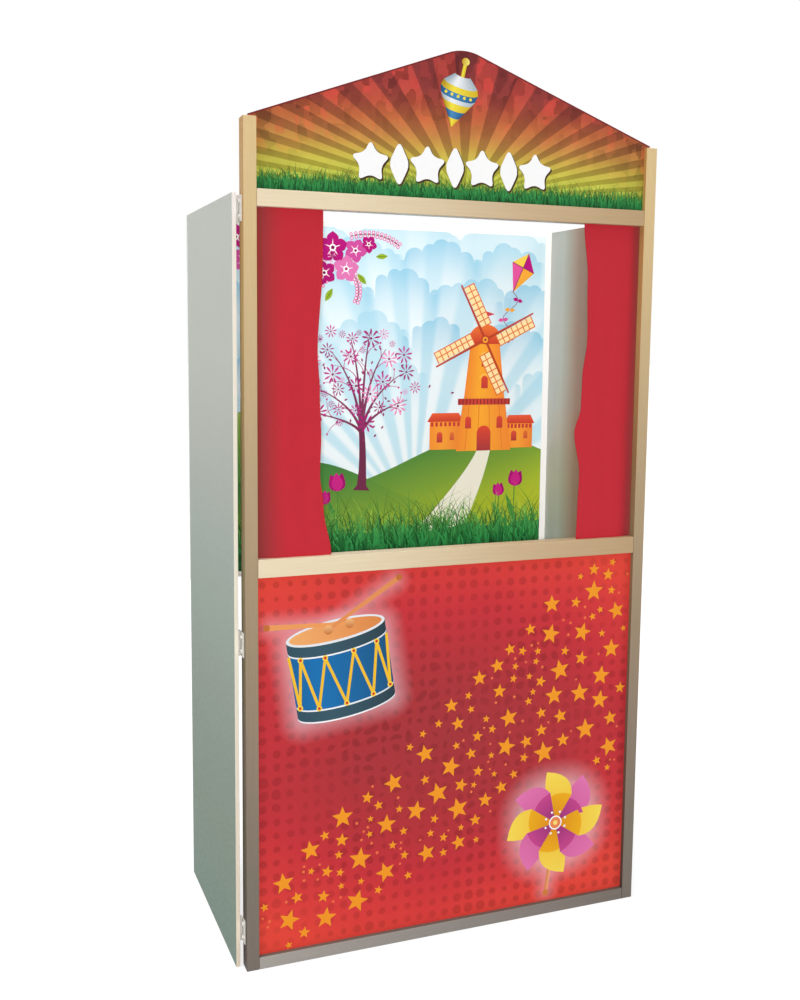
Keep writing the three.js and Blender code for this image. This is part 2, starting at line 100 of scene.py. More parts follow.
class Facing(Enum):
    """The six ways that a flat face can look."""

    FRONT = (0, -1, 0)
    BACK = (0, 1, 0)
    LEFT = (-1, 0, 0)
    RIGHT = (1, 0, 0)
    TOP = (0, 0, 1)
    FOOT = (0, 0, -1)


class Side(Enum):
    """The two sides of the theater, with the sign of X there."""

    LEFT = -1
    RIGHT = 1

    @property
    def word(self) -> str:
        """The side as node names spell it."""
        return self.name.lower()


# ---------------- colours and curves


def linear(code: str) -> Array:
    """Turns a written colour into light.

    c / 12.92 up to 0.04045 and ((c + 0.055) / 1.055) ** 2.4 above it.

    Args:
        code: The colour as #RRGGBB.

    Returns:
        Red, green, blue and 1, all from 0 to 1.
    """
    shares = np.array([int(code[i : i + 2], 16) for i in (1, 3, 5)]) / 255
    light = np.where(shares <= 0.04045, shares / 12.92, ((shares + 0.055) / 1.055) ** 2.4)
    return np.append(light, 1.0)


def faded(values: Array, stops: Stops) -> Array:
    """Colours along a fade: each channel runs straight from stop to stop.

    Args:
        values: Places along the fade, of any shape.
        stops: Pairs of place and colour, in rising order.

    Returns:
        The same shape with four channels added.
    """
    places = np.array([place for place, _ in stops])
    inks = np.array([linear(code) for _, code in stops])
    return joined(*(np.interp(values, places, inks[:, c]) for c in range(4)))


def by_height(*stops: tuple[float, str]) -> Painter:
    """Painter that fades with the height of each point."""
    return lambda points: faded(points[..., 1], stops)


def at_height(x: Array, z: float) -> Array:
    """Points along x, all at one height."""
    return joined(x, np.full_like(x, z))


def joined(*parts: Array) -> Array:
    """Arrays joined along a new last axis, as the x and z of points are."""
    return np.stack(parts, axis=-1)


def smooth(t: Array) -> Array:
    """Eased step: 3 t^2 - 2 t^3, with t held from 0 to 1."""
    held = np.clip(t, 0, 1)
    return held * held * (3 - 2 * held)


# ---------------- printed outlines


def star(radius: float = 1.0, waist: float = 0.45, points: int = 5) -> Array:
    """Star outline: its radius is 1 and waist in turn, a half step of pi / points apart.

    Args:
        radius: Radius of its points.
        waist: Inner radius as a share of it.
        points: How many points.

    Returns:
        The outline, one (x, z) a row.
    """
    turn = np.pi / 2 + np.arange(2 * points) * np.pi / points
    reach = radius * np.where(np.arange(2 * points) % 2 == 0, 1.0, waist)
    return joined(reach * np.cos(turn), reach * np.sin(turn))


def disc(wide: float = 1.0, high: float | None = None, sides: int = 20) -> Array:
    """Ellipse outline: (wide cos a, high sin a).

    Args:
        wide: Half width.
        high: Half height, or the half width again.
        sides: How many corners.

    Returns:
        The outline, one (x, z) a row.
    """
    turn = np.arange(sides) * 2 * np.pi / sides
    tall = wide if high is None else high
    return joined(wide * np.cos(turn), tall * np.sin(turn))


def petal(length: float = 1.0, width: float = 0.3, steps: int = 5, blunt: float = 1.0) -> Array:
    """Petal outline from the origin upwards: x = +-width / 2 sin(pi t^blunt), z = length t.

    Args:
        length: Its length.
        width: Its greatest width.
        steps: Steps along each side.
        blunt: Over 1, it is widest beyond its middle.

    Returns:
        The outline, one (x, z) a row.
    """
    t = np.linspace(0, 1, steps + 1)
    half = width / 2 * np.sin(np.pi * t**blunt)
    right = joined(half[:-1], length * t[:-1])
    left = joined(-half[:0:-1], length * t[:0:-1])
    return np.concatenate([right, left])


def softened(outline: Array, rounds: int = 2, cut: float = 0.25) -> Array:
    """Outline with its corners cut again and again: p + cut (q - p) and q - cut (q - p) on each side.

    Args:
        outline: Its corners, one (x, z) a row.
        rounds: How many times.
        cut: Share of a side that each cut takes.

    Returns:
        The softer outline.
    """
    for _ in range(rounds):
        following = np.roll(outline, -1, axis=0)
        near = outline + cut * (following - outline)
        far = following - cut * (following - outline)
        outline = np.stack([near, far], axis=1).reshape(-1, 2)
    return outline


def stroke(path: Array, width: float | Array) -> Array:
    """Band along a path: the path moved by half its width along its normal, there and back.

    Args:
        path: Points of the line, (n, 2).
        width: One width, or one for each point.

    Returns:
        The band's outline, (2 n, 2).
    """
    along = np.gradient(path, axis=0)
    along /= np.linalg.norm(along, axis=1, keepdims=True)
    normal = joined(-along[:, 1], along[:, 0])
    half = np.broadcast_to(np.asarray(width, float) / 2, (len(path),))[:, None]
    return np.concatenate([path - half * normal, (path + half * normal)[::-1]])


def bend(start: tuple, middle: tuple, end: tuple, steps: int = 12) -> Array:
    """Curve of three points: (1 - t)^2 start + 2 t (1 - t) middle + t^2 end.

    Args:
        start: Its first point.
        middle: The point that it bends to.
        end: Its last point.
        steps: How many points.

    Returns:
        The points, one (x, z) a row.
    """
    t = np.linspace(0, 1, steps)[:, None]
    a, b, c = (np.array(p, float) for p in (start, middle, end))
    return (1 - t) ** 2 * a + 2 * t * (1 - t) * b + t**2 * c


def placed(
    outline: Array,
    centres: Array | tuple,
    sizes: Array | float = 1.0,
    turns: Array | float = 0.0,
) -> Array:
    """Copies of an outline: each is scaled, turned by its angle and moved to its centre.

    Args:
        outline: Points, (n, 2).
        centres: One centre or many, (k, 2).
        sizes: One scale or k of them.
        turns: One angle in radians or k of them, anticlockwise.

    Returns:
        The copies, (k, n, 2).
    """
    middles = np.atleast_2d(np.asarray(centres, float))
    count = len(middles)
    scale = np.broadcast_to(np.asarray(sizes, float), (count,))[:, None]
    angle = np.broadcast_to(np.asarray(turns, float), (count,))[:, None]
    x, z = outline[None, :, 0] * scale, outline[None, :, 1] * scale
    turned = joined(x * np.cos(angle) - z * np.sin(angle), x * np.sin(angle) + z * np.cos(angle))
    return turned + middles[:, None, :]


def box_outline(width: float, height: float) -> Array:
    """Rectangle round the origin."""
    return np.array([[-1, -1], [1, -1], [1, 1], [-1, 1]]) * (width / 2, height / 2)


@dataclass
class Relief:
    """Printed shapes on the front of a board: each is a closed slab of ink that stands on it."""

    board_y: float
    step: float = 0.02  # millimetres from one level to the next
    points: list[Array] = field(default_factory=list)
    inks: list[Array] = field(default_factory=list)
    faces: list[list[int]] = field(default_factory=list)
    used: int = 0

    def _take(self, front: Array, ring: Array, inks: Array, depth: float) -> None:
        """Adds a front surface's points and the ring of its back, and the walls between.

        Args:
            front: Points of the front, (n, 2), in millimetres.
            ring: Indices of the front's border, anticlockwise.
            inks: Colour of each point, (n, 4).
            depth: Height of the front above the board, in metres.
        """
        count, border = len(front), len(ring)
        ahead = np.column_stack([front[:, 0] * MM, np.full(count, self.board_y - depth), front[:, 1] * MM])
        behind = ahead[ring].copy()
        behind[:, 1] = self.board_y
        self.points += [ahead, behind]
        self.inks += [inks, inks[ring]]
        near = ring + self.used
        far = self.used + count + np.arange(border)
        walls = joined(near, far, np.roll(far, -1), np.roll(near, -1))
        self.faces += walls.tolist() + [far[::-1].tolist()]
        self.used += count + border

    def add(self, shapes: Array, ink: str | Array, level: float | Array) -> None:
        """Adds flat shapes.

        Args:
            shapes: One outline (n, 2) or many (k, n, 2), in millimetres.
            ink: One colour, or one for each point, (n, 4) or (k, n, 4).
            level: Height in levels, one or k of them.
        """
        many = shapes if shapes.ndim == 3 else shapes[None]
        count, size = many.shape[:2]
        colour = linear(ink) if isinstance(ink, str) else ink
        inks = np.broadcast_to(colour, (count, size, 4))
        levels = np.broadcast_to(np.asarray(level, float), (count,))
        following = np.roll(many, -1, axis=1)
        areas = (many[..., 0] * following[..., 1] - following[..., 0] * many[..., 1]).sum(axis=1)
        ring = np.arange(size)
        for outline, shade, height, area in zip(many, inks, levels, areas):
            way = 1 if area > 0 else -1
            self.faces.append((ring + self.used).tolist())
            self._take(outline[::way], ring, shade[::way], height * self.step * MM)

    def patch(self, lower: Array, upper: Array, ink: Painter | Array, level: float, rows: int = 6) -> None:
        """Adds a surface between two curves: lower + v (upper - lower), coloured point by point.

        Args:
            lower: Lower curve from left to right, (n, 2), in millimetres.
            upper: Upper curve, (n, 2).
            ink: A painter, or the colours along the curves, (n, 4).
            level: Height in levels.
            rows: Steps from the lower curve to the upper one.
        """
        v = np.linspace(0, 1, rows + 1)[:, None, None]
        grid = lower[None] + v * (upper - lower)[None]
        wide = len(lower)
        index = np.arange((rows + 1) * wide).reshape(rows + 1, wide)
        quads = joined(index[:-1, :-1], index[:-1, 1:], index[1:, 1:], index[1:, :-1])
        self.faces += (quads.reshape(-1, 4) + self.used).tolist()
        ring = np.concatenate([index[0], index[1:, -1], index[-1, -2::-1], index[-2:0:-1, 0]])
        inks = ink(grid) if callable(ink) else np.broadcast_to(ink, (*grid.shape[:-1], 4))
        self._take(grid.reshape(-1, 2), ring, inks.reshape(-1, 4), level * self.step * MM)

    def stamp(
        self,
        outline: Array,
        ink: str | Array,
        level: float | Array,
        centres: Array | tuple,
        sizes: Array | float = 1.0,
        turns: Array | float = 0.0,
    ) -> None:
        """Adds copies of an outline: what placed makes, in an ink at a level."""
        self.add(placed(outline, centres, sizes, turns), ink, level)

    def dots(
        self, centres: Array | tuple, radius: float, sides: int, ink: str | Array, level: float
    ) -> None:
        """Adds round dots with so many corners."""
        self.stamp(disc(radius, sides=sides), ink, level, centres)

    def line(self, path: Array, width: float | Array, ink: str | Array, level: float) -> None:
        """Adds a line along a path, as stroke makes it."""
        self.add(stroke(path, width), ink, level)

    def make(self, name: str, body: Body, slot: Slot) -> None:
        """Makes the piece of all that was added, with the colours as its attribute ink.

        Args:
            name: Name of the piece.
            body: CAD body that it rides on.
            slot: Not used.
        """
        mesh = bpy.data.meshes.new(name)
        mesh.from_pydata(np.concatenate(self.points).tolist(), [], self.faces)
        inks = mesh.attributes.new("ink", "FLOAT_COLOR", "POINT")
        inks.data.foreach_set("color", np.concatenate(self.inks).astype(np.float32).ravel())
        handed_in(mesh, name, body, [InkFinish("finish_printed_ink")])


def linked(name: str, data: bpy.types.ID) -> Piece:
    """Makes an object of some data and puts it in the scene.

    Args:
        name: Its name.
        data: Its mesh, lamp or camera.

    Returns:
        The object.
    """
    made = bpy.data.objects.new(name, data)
    bpy.context.scene.collection.objects.link(made)
    return made


def handed_in(mesh: Mesh, name: str, body: Body, finishes: list["Finish"]) -> Piece:
    """Makes an object of a finished mesh, with its finishes, and puts it on its body.

    Args:
        mesh: The mesh, with its place in its points.
        name: Name of the piece.
        body: CAD body that it rides on.
        finishes: One finish for each material index that the mesh uses.

    Returns:
        The piece.
    """
    mesh.materials.clear()
    for finish in finishes:
        mesh.materials.append(finish.material())
    piece = linked(name, mesh)
    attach(piece, body.value)
    LOG.info("%s: %d points, %d faces, on %s", name, len(mesh.vertices), len(mesh.polygons), body.value)
    return piece


# ---------------- shader graphs


class Graph:
    """Adds nodes to a tree and joins them. A value may be a number, a tuple or a socket."""

    def __init__(self, tree: Tree, shader: Node | None = None) -> None:
        """Keeps the tree that the nodes go into, and the shader that a finish ends in."""
        self.tree, self.shader = tree, shader

    def feed(self, socket: Socket, value: Value) -> None:
        """Joins a socket to another, or sets its own value.

        Args:
            socket: The input.
            value: What it gets.
        """
        if isinstance(value, Socket):
            self.tree.links.new(value, socket)
        else:
            socket.default_value = value

    def node(self, kind: str, inputs: dict | None = None, **settings: Value) -> Node:
        """Adds a node.

        Args:
            kind: Type of the node.
            inputs: Value for each named or numbered input.
            **settings: Properties of the node, set before its inputs.

        Returns:
            The node.
        """
        made = self.tree.nodes.new(kind)
        for name, value in settings.items():
            setattr(made, name, value)
        for key, value in (inputs or {}).items():
            self.feed(made.inputs[key], value)
        return made

    def math(self, operation: str, a: Value, b: Value = 0.0, c: Value = 0.0) -> Socket:
        """Result of a Math node."""
        return self.node("ShaderNodeMath", {0: a, 1: b, 2: c}, operation=operation).outputs[0]

    def vector(self, operation: str, a: Value, b: Value = (0, 0, 0), scale: Value = 1.0) -> Node:
        """A Vector Math node."""
        return self.node("ShaderNodeVectorMath", {0: a, 1: b, 3: scale}, operation=operation)

    def mix(self, share: Value, a: Value, b: Value, blend: str = "MIX") -> Socket:
        """Colour mixed of two: a at a share of 0 and b at 1."""
        inputs = {0: share, 6: a, 7: b}
        return self.node("ShaderNodeMix", inputs, data_type="RGBA", blend_type=blend).outputs[2]

    def spread(
        self,
        value: Value,
        low: Value,
        high: Value,
        to_low: Value = 0.0,
        to_high: Value = 1.0,
        eased: bool = False,
    ) -> Socket:
        """Value carried from one range to another and held inside it.

        Args:
            value: What is carried.
            low: Start of its range.
            high: End of its range.
            to_low: Value at the start.
            to_high: Value at the end.
            eased: Whether it starts and ends gently.

        Returns:
            The value.
        """
        inputs = {"Value": value, "From Min": low, "From Max": high, "To Min": to_low, "To Max": to_high}
        kind = "SMOOTHSTEP" if eased else "LINEAR"
        return self.node("ShaderNodeMapRange", inputs, interpolation_type=kind).outputs[0]

    def times(self, first: Value, second: Value) -> Socket:
        """Product of two values."""
        return self.math("MULTIPLY", first, second)

    def plus(self, first: Value, second: Value) -> Socket:
        """Sum of two values."""
        return self.math("ADD", first, second)

    def minus(self, first: Value, second: Value) -> Socket:
        """First value less the second."""
        return self.math("SUBTRACT", first, second)

    def scaled(self, vector: Value, shares: Value) -> Socket:
        """Vector whose coordinates are multiplied, each by its own share."""
        return self.vector("MULTIPLY", vector, shares).outputs[0]

    def moved(self, vector: Value, origin: Value) -> Socket:
        """Vector from an origin to a place."""
        return self.vector("SUBTRACT", vector, origin).outputs[0]

    def noise(self, vector: Value, scale: Value, detail: float = 2.0, wander: float = 0.0) -> Socket:
        """Noise from 0 to 1, about 0.5."""
        inputs = {"Vector": vector, "Scale": scale, "Detail": detail, "Distortion": wander}
        return self.node("ShaderNodeTexNoise", inputs).outputs[0]

    def fade(self, value: Value, stops: Stops) -> Socket:
        """Colour ramp over stops that are given in the value's own unit.

        Args:
            value: Where on the ramp.
            stops: Places and colours, in rising order.

        Returns:
            The colour.
        """
        low, high = stops[0][0], stops[-1][0]
        made = self.node("ShaderNodeValToRGB", {"Fac": self.spread(value, low, high)})
        ramp = made.color_ramp.elements
        while len(ramp) < len(stops):
            ramp.new(0.5)
        for element, (place, code) in zip(ramp, stops):
            element.position = (place - low) / (high - low)
            element.color = linear(code)
        return made.outputs[0]

    def lit(self, colour: Value, value: Value) -> Socket:
        """Colour made lighter or darker by a factor about 1."""
        return self.node("ShaderNodeHueSaturation", {"Color": colour, "Value": value}).outputs[0]

    def place(self) -> Socket:
        """Object coordinates, which are the frame's own in metres."""
        return self.node("ShaderNodeTexCoord").outputs["Object"]

    def along(self, vector: Value, axis: Axis) -> Socket:
        """One coordinate of a vector."""
        return self.node("ShaderNodeSeparateXYZ", {0: vector}).outputs[axis.value]

    def shared(self, tree: Tree, **inputs: Value) -> Node:
        """A shared group's node; an underscore in a name stands for a space."""
        named = {key.replace("_", " "): value for key, value in inputs.items()}
        return self.node("ShaderNodeGroup", named, node_tree=tree)

    def dress(self, colour: Value, roughness: Value, height: Value, depth: float, **plain: float) -> None:
        """Joins what changes over a surface to the shader, and sets what doesn't.

        Args:
            colour: Base colour.
            roughness: Roughness.
            height: Height that bends the normal.
            depth: What a height of 1 is worth, in metres.
            **plain: Plain numbers by input; an underscore in a name stands for a space.
        """
        bump = self.node("ShaderNodeBump", {"Height": height, "Distance": depth, "Strength": 1.0})
        for name, value in (("Base Color", colour), ("Roughness", roughness), ("Normal", bump.outputs[0])):
            self.feed(self.shader.inputs[name], value)
        for name, number in plain.items():
            self.shader.inputs[name.replace("_", " ")].default_value = number


def new_group(name: str, inputs: dict[str, str], outputs: dict[str, str]) -> tuple[Graph, dict, Node]:
    """Starts a shared node group.

    Args:
        name: Name of the group.
        inputs: Kind of each input by name: Float, Vector or Color.
        outputs: Kind of each output by name.

    Returns:
        Its graph, its input sockets by name and its output node.
    """
    tree = bpy.data.node_groups.new(name, "ShaderNodeTree")
    for way, sockets in (("INPUT", inputs), ("OUTPUT", outputs)):
        for label, kind in sockets.items():
            tree.interface.new_socket(name=label, in_out=way, socket_type=f"NodeSocket{kind}")
    start = tree.nodes.new("NodeGroupInput")
    end = tree.nodes.new("NodeGroupOutput")
    return Graph(tree), {label: start.outputs[label] for label in inputs}, end


@cache
def grain_group() -> Tree:
    """Wood grain: broad and fine noise on coordinates that are squeezed along the stick.

    Returns:
        The group.
    """
    g, given, end = new_group(
        "wood_grain",
        {"Place": "Vector", "Squeeze": "Vector", "Scale": "Float"},
        {"Tone": "Float", "Height": "Float"},
    )
    squeezed = g.scaled(given["Place"], given["Squeeze"])
    broad = g.noise(squeezed, given["Scale"], 3.0, 0.8)
    fine = g.noise(squeezed, g.times(given["Scale"], 5.0), 2.0)
    pores = g.spread(fine, 0.6, 0.72)
    tone = g.plus(g.times(broad, 0.7), g.times(fine, 0.3))
    g.feed(end.inputs["Tone"], g.minus(tone, g.times(pores, 0.12)))
    g.feed(end.inputs["Height"], g.minus(tone, pores))
    return g.tree


@cache
def mottle_group() -> Tree:
    """Slight unevenness of a finish: a factor of 1 + amount (2 noise - 1) from two sizes of noise.

    Returns:
        The group.
    """
    g, given, end = new_group(
        "mottle",
        {"Place": "Vector", "Scale": "Float", "Amount": "Float"},
        {"Factor": "Float", "Height": "Float"},
    )
    wide = g.noise(given["Place"], given["Scale"], 3.0)
    close = g.noise(given["Place"], g.times(given["Scale"], 11.0), 2.0)
    both = g.plus(g.times(wide, 1.4), g.times(close, 0.6))
    swing = g.minus(both, 1.0)
    g.feed(end.inputs["Factor"], g.math("MULTIPLY_ADD", swing, given["Amount"], 1.0))
    g.feed(end.inputs["Height"], close)
    return g.tree


@cache
def scuff_group() -> Tree:
    """Marks of use near the floor: noise over a limit that rises with the height.

    Returns:
        The group.
    """
    g, given, end = new_group(
        "floor_scuffs", {"Place": "Vector", "Scale": "Float", "Reach": "Float"}, {"Mask": "Float"}
    )
    height = g.along(given["Place"], Axis.Z)
    limit = g.spread(g.math("DIVIDE", height, given["Reach"]), 0.0, 1.0, 0.5, 0.8)
    spots = g.noise(given["Place"], given["Scale"], 5.0, 1.5)
    g.feed(end.inputs["Mask"], g.spread(g.minus(spots, limit), 0.0, 0.1))
    return g.tree


@cache
def rays_group() -> Tree:
    """Beams from one point: the angle from upright times a count, as a soft square wave.

    Returns:
        The group.
    """
    g, given, end = new_group(
        "sun_rays",
        {"Place": "Vector", "Centre": "Vector", "Squeeze": "Vector", "Count": "Float"},
        {"Mask": "Float"},
    )
    arm = g.moved(given["Place"], given["Centre"])
    flat = g.scaled(arm, given["Squeeze"])
    angle = g.math("ARCTAN2", g.along(flat, Axis.X), g.along(flat, Axis.Z))
    turns = g.times(angle, g.math("DIVIDE", given["Count"], math.pi))
    uneven = g.times(g.math("SINE", g.times(angle, 9.3)), 0.08)
    swing = g.math("PINGPONG", g.plus(g.plus(turns, uneven), 40.0), 0.5)
    g.feed(end.inputs["Mask"], g.spread(swing, 0.23, 0.27, eased=True))
    return g.tree


@cache
def dots_group() -> Tree:
    """Halftone dots on a square grid: 1 inside a radius that changes from place to place.

    Returns:
        The group.
    """
    g, given, end = new_group(
        "halftone_dots", {"Place": "Vector", "Pitch": "Float", "Wander": "Float"}, {"Mask": "Float"}
    )
    wander = g.node("ShaderNodeTexNoise", {"Vector": given["Place"], "Scale": 34.0, "Detail": 1.0})
    drift = wander.outputs["Color"]
    pushed = g.vector("SCALE", g.moved(drift, (0.5, 0.5, 0.5)), scale=given["Wander"])
    moved = g.vector("ADD", given["Place"], pushed.outputs[0]).outputs[0]
    counted = g.vector("SCALE", moved, scale=g.math("DIVIDE", 1.0, given["Pitch"])).outputs[0]
    inside = g.moved(g.vector("FRACTION", counted).outputs[0], (0.5, 0.5, 0.5))
    reach = g.vector("LENGTH", g.scaled(inside, (1, 0, 1))).outputs["Value"]
    radius = g.spread(g.noise(given["Place"], 16.0, 2.0), *NOISE, 0.17, 0.38)
    edge = g.minus(reach, radius)
    g.feed(end.inputs["Mask"], g.spread(edge, -0.07, 0.07, 1.0, 0.0, eased=True))
    return g.tree


@cache
def weave_group() -> Tree:
    """Plain weave: warp |sin(pi u / p)| where it is on top and weft |sin(pi v / p)| elsewhere.

    Returns:
        The group.
    """
    g, given, end = new_group("plain_weave", {"Place": "Vector", "Pitch": "Float"}, {"Height": "Float"})
    rate = g.math("DIVIDE", math.pi, given["Pitch"])
    warp = g.math("SINE", g.times(g.along(given["Place"], Axis.X), rate))
    weft = g.math("SINE", g.times(g.along(given["Place"], Axis.Y), rate))
    over = g.math("GREATER_THAN", g.times(warp, weft), 0.0)
    up = g.times(g.math("ABSOLUTE", warp), over)
    down = g.times(g.math("ABSOLUTE", weft), g.minus(1.0, over))
    g.feed(end.inputs["Height"], g.plus(up, down))
    return g.tree


# ---------------- finishes


@dataclass(frozen=True)
class Finish:
    """A named finish. Its material is made once and shared."""

    name: str

    def material(self) -> bpy.types.Material:
        """The finish's material.

        Returns:
            The material, made at the first call and then shared.
        """
        made = bpy.data.materials.get(self.name)
        if made is None:
            made = bpy.data.materials.new(self.name)
            made.use_nodes = True
            self.paint(Graph(made.node_tree, made.node_tree.nodes["Principled BSDF"]))
        return made

    def paint(self, g: Graph) -> None:
        """Joins the finish's nodes to the shader.

        Args:
            g: Graph of the material.
        """
        raise NotImplementedError


@dataclass(frozen=True)
class StickWood(Finish):
    """Varnished wood of a frame's stick, whose colour fades along one axis; on the posts and rails the fade
    is painted shade.
    """

    fade: Axis
    stops: Stops
    run: Axis
    contrast: float = 0.1
    grain_scale: float = 300.0
    drawn_out: float = 0.035
    dirt: str = "#5F564D"

    def paint(self, g: Graph) -> None:
        """Fade (painted shade on the frame's sticks), grain along the stick and scuffs by the floor.

        Args:
            g: Graph of the material.
        """
        place = g.place()
        squeeze = tuple(self.drawn_out if axis is self.run else 1.0 for axis in Axis)
        grain = g.shared(grain_group(), Place=place, Squeeze=squeeze, Scale=self.grain_scale)
        scuffs = g.shared(scuff_group(), Place=place, Scale=150.0, Reach=0.09).outputs["Mask"]
        low, high = 1 - self.contrast / 2, 1 + self.contrast / 2
        tone = g.spread(grain.outputs["Tone"], *NOISE, low, high)
        # painted shade: the stops darken the posts towards the floor and the rails to the right
        coat = g.fade(g.along(place, self.fade), self.stops)
        worn = g.mix(g.times(scuffs, 0.05), coat, linear(self.dirt))
        rough = g.spread(grain.outputs["Tone"], *NOISE, 0.52, 0.4)
        g.dress(g.lit(worn, tone), rough, grain.outputs["Height"], 0.00005, Specular_IOR_Level=0.2)


@dataclass(frozen=True)
class Laminate(Finish):
    """Smooth board face whose colour fades along one axis, painted shade on the wings, and whose tone darkens
    lower down as painted shade.
    """

    stops: Stops
    fade: Axis = Axis.Z
    # tone at 0.5 m and below; under 1 it paints shade lower down
    low_tone: float = 1.0
    roughness: float = 0.45
    amount: float = 0.02
    dirt: str = "#5E6259"

    def paint(self, g: Graph) -> None:
        """Fade, painted shade lower down, faint clouding and a fine pebbled face.

        Args:
            g: Graph of the material.
        """
        place = g.place()
        mottle = g.shared(mottle_group(), Place=place, Scale=14.0, Amount=self.amount)
        scuffs = g.shared(scuff_group(), Place=place, Scale=45.0, Reach=0.06).outputs["Mask"]
        colour = g.fade(g.along(place, self.fade), self.stops)
        worn = g.mix(g.times(scuffs, 0.12), colour, linear(self.dirt))
        # painted shade: darker from 1.15 m down to 0.5 m
        tone = g.spread(g.along(place, Axis.Z), 0.5, 1.15, self.low_tone, 1.0)
        colour = g.lit(worn, g.times(tone, mottle.outputs["Factor"]))
        rough = g.spread(mottle.outputs["Height"], *NOISE, self.roughness + 0.05, self.roughness - 0.05)
        g.dress(colour, rough, g.noise(place, 900.0, 2.0), 0.00003, Specular_IOR_Level=0.2)


@dataclass(frozen=True)
class LayeredEdge(Finish):
    """Sawn edge of a thin layered board, seen between its two faces."""

    stops: Stops
    middle_x: float
    thickness: float
    plies: int = 5

    def paint(self, g: Graph) -> None:
        """Fade with the height, and plies across the thickness that are light and dark in turn.

        Args:
            g: Graph of the material.
        """
        place = g.place()
        inner = self.middle_x - self.thickness / 2
        across = g.minus(g.math("ABSOLUTE", g.along(place, Axis.X)), inner)
        count = g.times(across, self.plies / self.thickness)
        ply = g.spread(g.math("PINGPONG", count, 1.0), 0.35, 0.65, eased=True)
        grain = g.shared(grain_group(), Place=place, Squeeze=(1.0, 1.0, 0.06), Scale=420.0)
        tone = g.math("MULTIPLY_ADD", ply, 0.04, g.spread(grain.outputs["Tone"], *NOISE, 0.97, 1.01))
        colour = g.lit(g.fade(g.along(place, Axis.Z), self.stops), tone)
        rough = g.spread(grain.outputs["Tone"], *NOISE, 0.75, 0.6)
        g.dress(colour, rough, grain.outputs["Height"], 0.0001)


@dataclass(frozen=True)
class FibreBoard(Finish):
    """Raw fibreboard, as on the backs and sawn edges of the printed boards."""

    colour: str = "#B79468"

    def paint(self, g: Graph) -> None:
        """Short fibres in two tones.

        Args:
            g: Graph of the material.
        """
        place = g.place()
        fibres = g.noise(place, 420.0, 5.0, 1.2)
        mottle = g.shared(mottle_group(), Place=place, Scale=20.0, Amount=0.06)
        base = g.lit(tuple(linear(self.colour)), mottle.outputs["Factor"])
        colour = g.lit(base, g.spread(fibres, *NOISE, 0.86, 1.12))
        g.dress(colour, g.spread(fibres, *NOISE, 0.85, 0.7), fibres, 0.0001)


@dataclass(frozen=True)
class PrintFinish(Finish):
    """Printed face of a board: its picture's ground is worked out here, under a satin film."""

    def ground(self, g: Graph, place: Value) -> Value:
        """Colour of the picture's ground.

        Args:
            g: Graph of the material.
            place: Object coordinates.

        Returns:
            The colour's socket.
        """
        raise NotImplementedError

    def paint(self, g: Graph) -> None:
        """The ground with the film's slight unevenness.

        Args:
            g: Graph of the material.
        """
        place = g.place()
        mottle = g.shared(mottle_group(), Place=place, Scale=30.0, Amount=0.012)
        colour = g.lit(self.ground(g, place), mottle.outputs["Factor"])
        rough = g.spread(mottle.outputs["Height"], *NOISE, 0.5, 0.4)
        g.dress(colour, rough, g.noise(place, 1200.0), 0.00002, Specular_IOR_Level=0.1)


@dataclass(frozen=True)
class InkFinish(PrintFinish):
    """Inked shapes: their colours are in the mesh as the attribute ink."""

    def ground(self, g: Graph, place: Value) -> Value:
        """The attribute's colour."""
        return g.node("ShaderNodeAttribute", attribute_name="ink", attribute_type="GEOMETRY").outputs["Color"]


@dataclass(frozen=True)
class SunsetPrint(PrintFinish):
    """Ground of the gabled board: light and dark beams from deep red down to yellow, with worn patches."""

    light: Stops
    dark: Stops
    centre: Place
    squeeze: Place
    beams: float
    patches: float = 66.0
    flare: str = "#D8413C"

    def ground(self, g: Graph, place: Value) -> Value:
        """Beams in two fades, patches that grow towards the gable, and darker ends.

        Args:
            g: Graph of the material.
            place: Place in the frame, in metres.

        Returns:
            The colour.
        """
        side = g.math("ABSOLUTE", g.along(place, Axis.X))
        level = g.math("MULTIPLY_ADD", side, 0.03, g.along(place, Axis.Z))
        rays = g.shared(rays_group(), Place=place, Centre=self.centre, Squeeze=self.squeeze, Count=self.beams)
        mask = rays.outputs["Mask"]
        base = g.mix(mask, g.fade(level, self.dark), g.fade(level, self.light))
        inputs = {"Vector": g.scaled(place, (1.0, 0.0, 0.7)), "Scale": self.patches, "Randomness": 0.9}
        cells = g.node("ShaderNodeTexVoronoi", inputs, distance="CHEBYCHEV")
        patch = g.along(cells.outputs["Color"], Axis.X)
        drawn = g.math("MULTIPLY_ADD", g.times(side, side), 0.75, g.along(place, Axis.Z))
        worn = g.spread(drawn, 1.29, 1.38)
        shift = g.times(g.minus(patch, 0.7), g.times(worn, 0.62))
        toned = g.lit(base, g.plus(shift, 1.0))
        flare = g.times(g.spread(patch, 0.74, 0.8), g.times(worn, 0.4))
        glow = g.times(flare, g.math("MULTIPLY_ADD", mask, 0.7, 0.3))
        red = g.mix(glow, toned, linear(self.flare))
        cloud = g.spread(g.noise(place, 30.0, 4.0), *NOISE, 0.93, 1.07)
        ends = g.spread(side, 0.25, 0.33, 1.0, 0.8)
        return g.lit(red, g.times(cloud, ends))


@dataclass(frozen=True)
class Glow:
    """Soft light print round a figure: it fades with the distance from a leaning box, in metres."""

    centre: Place
    half: Place
    lean: float
    start: float
    reach: float
    strength: float = 0.5


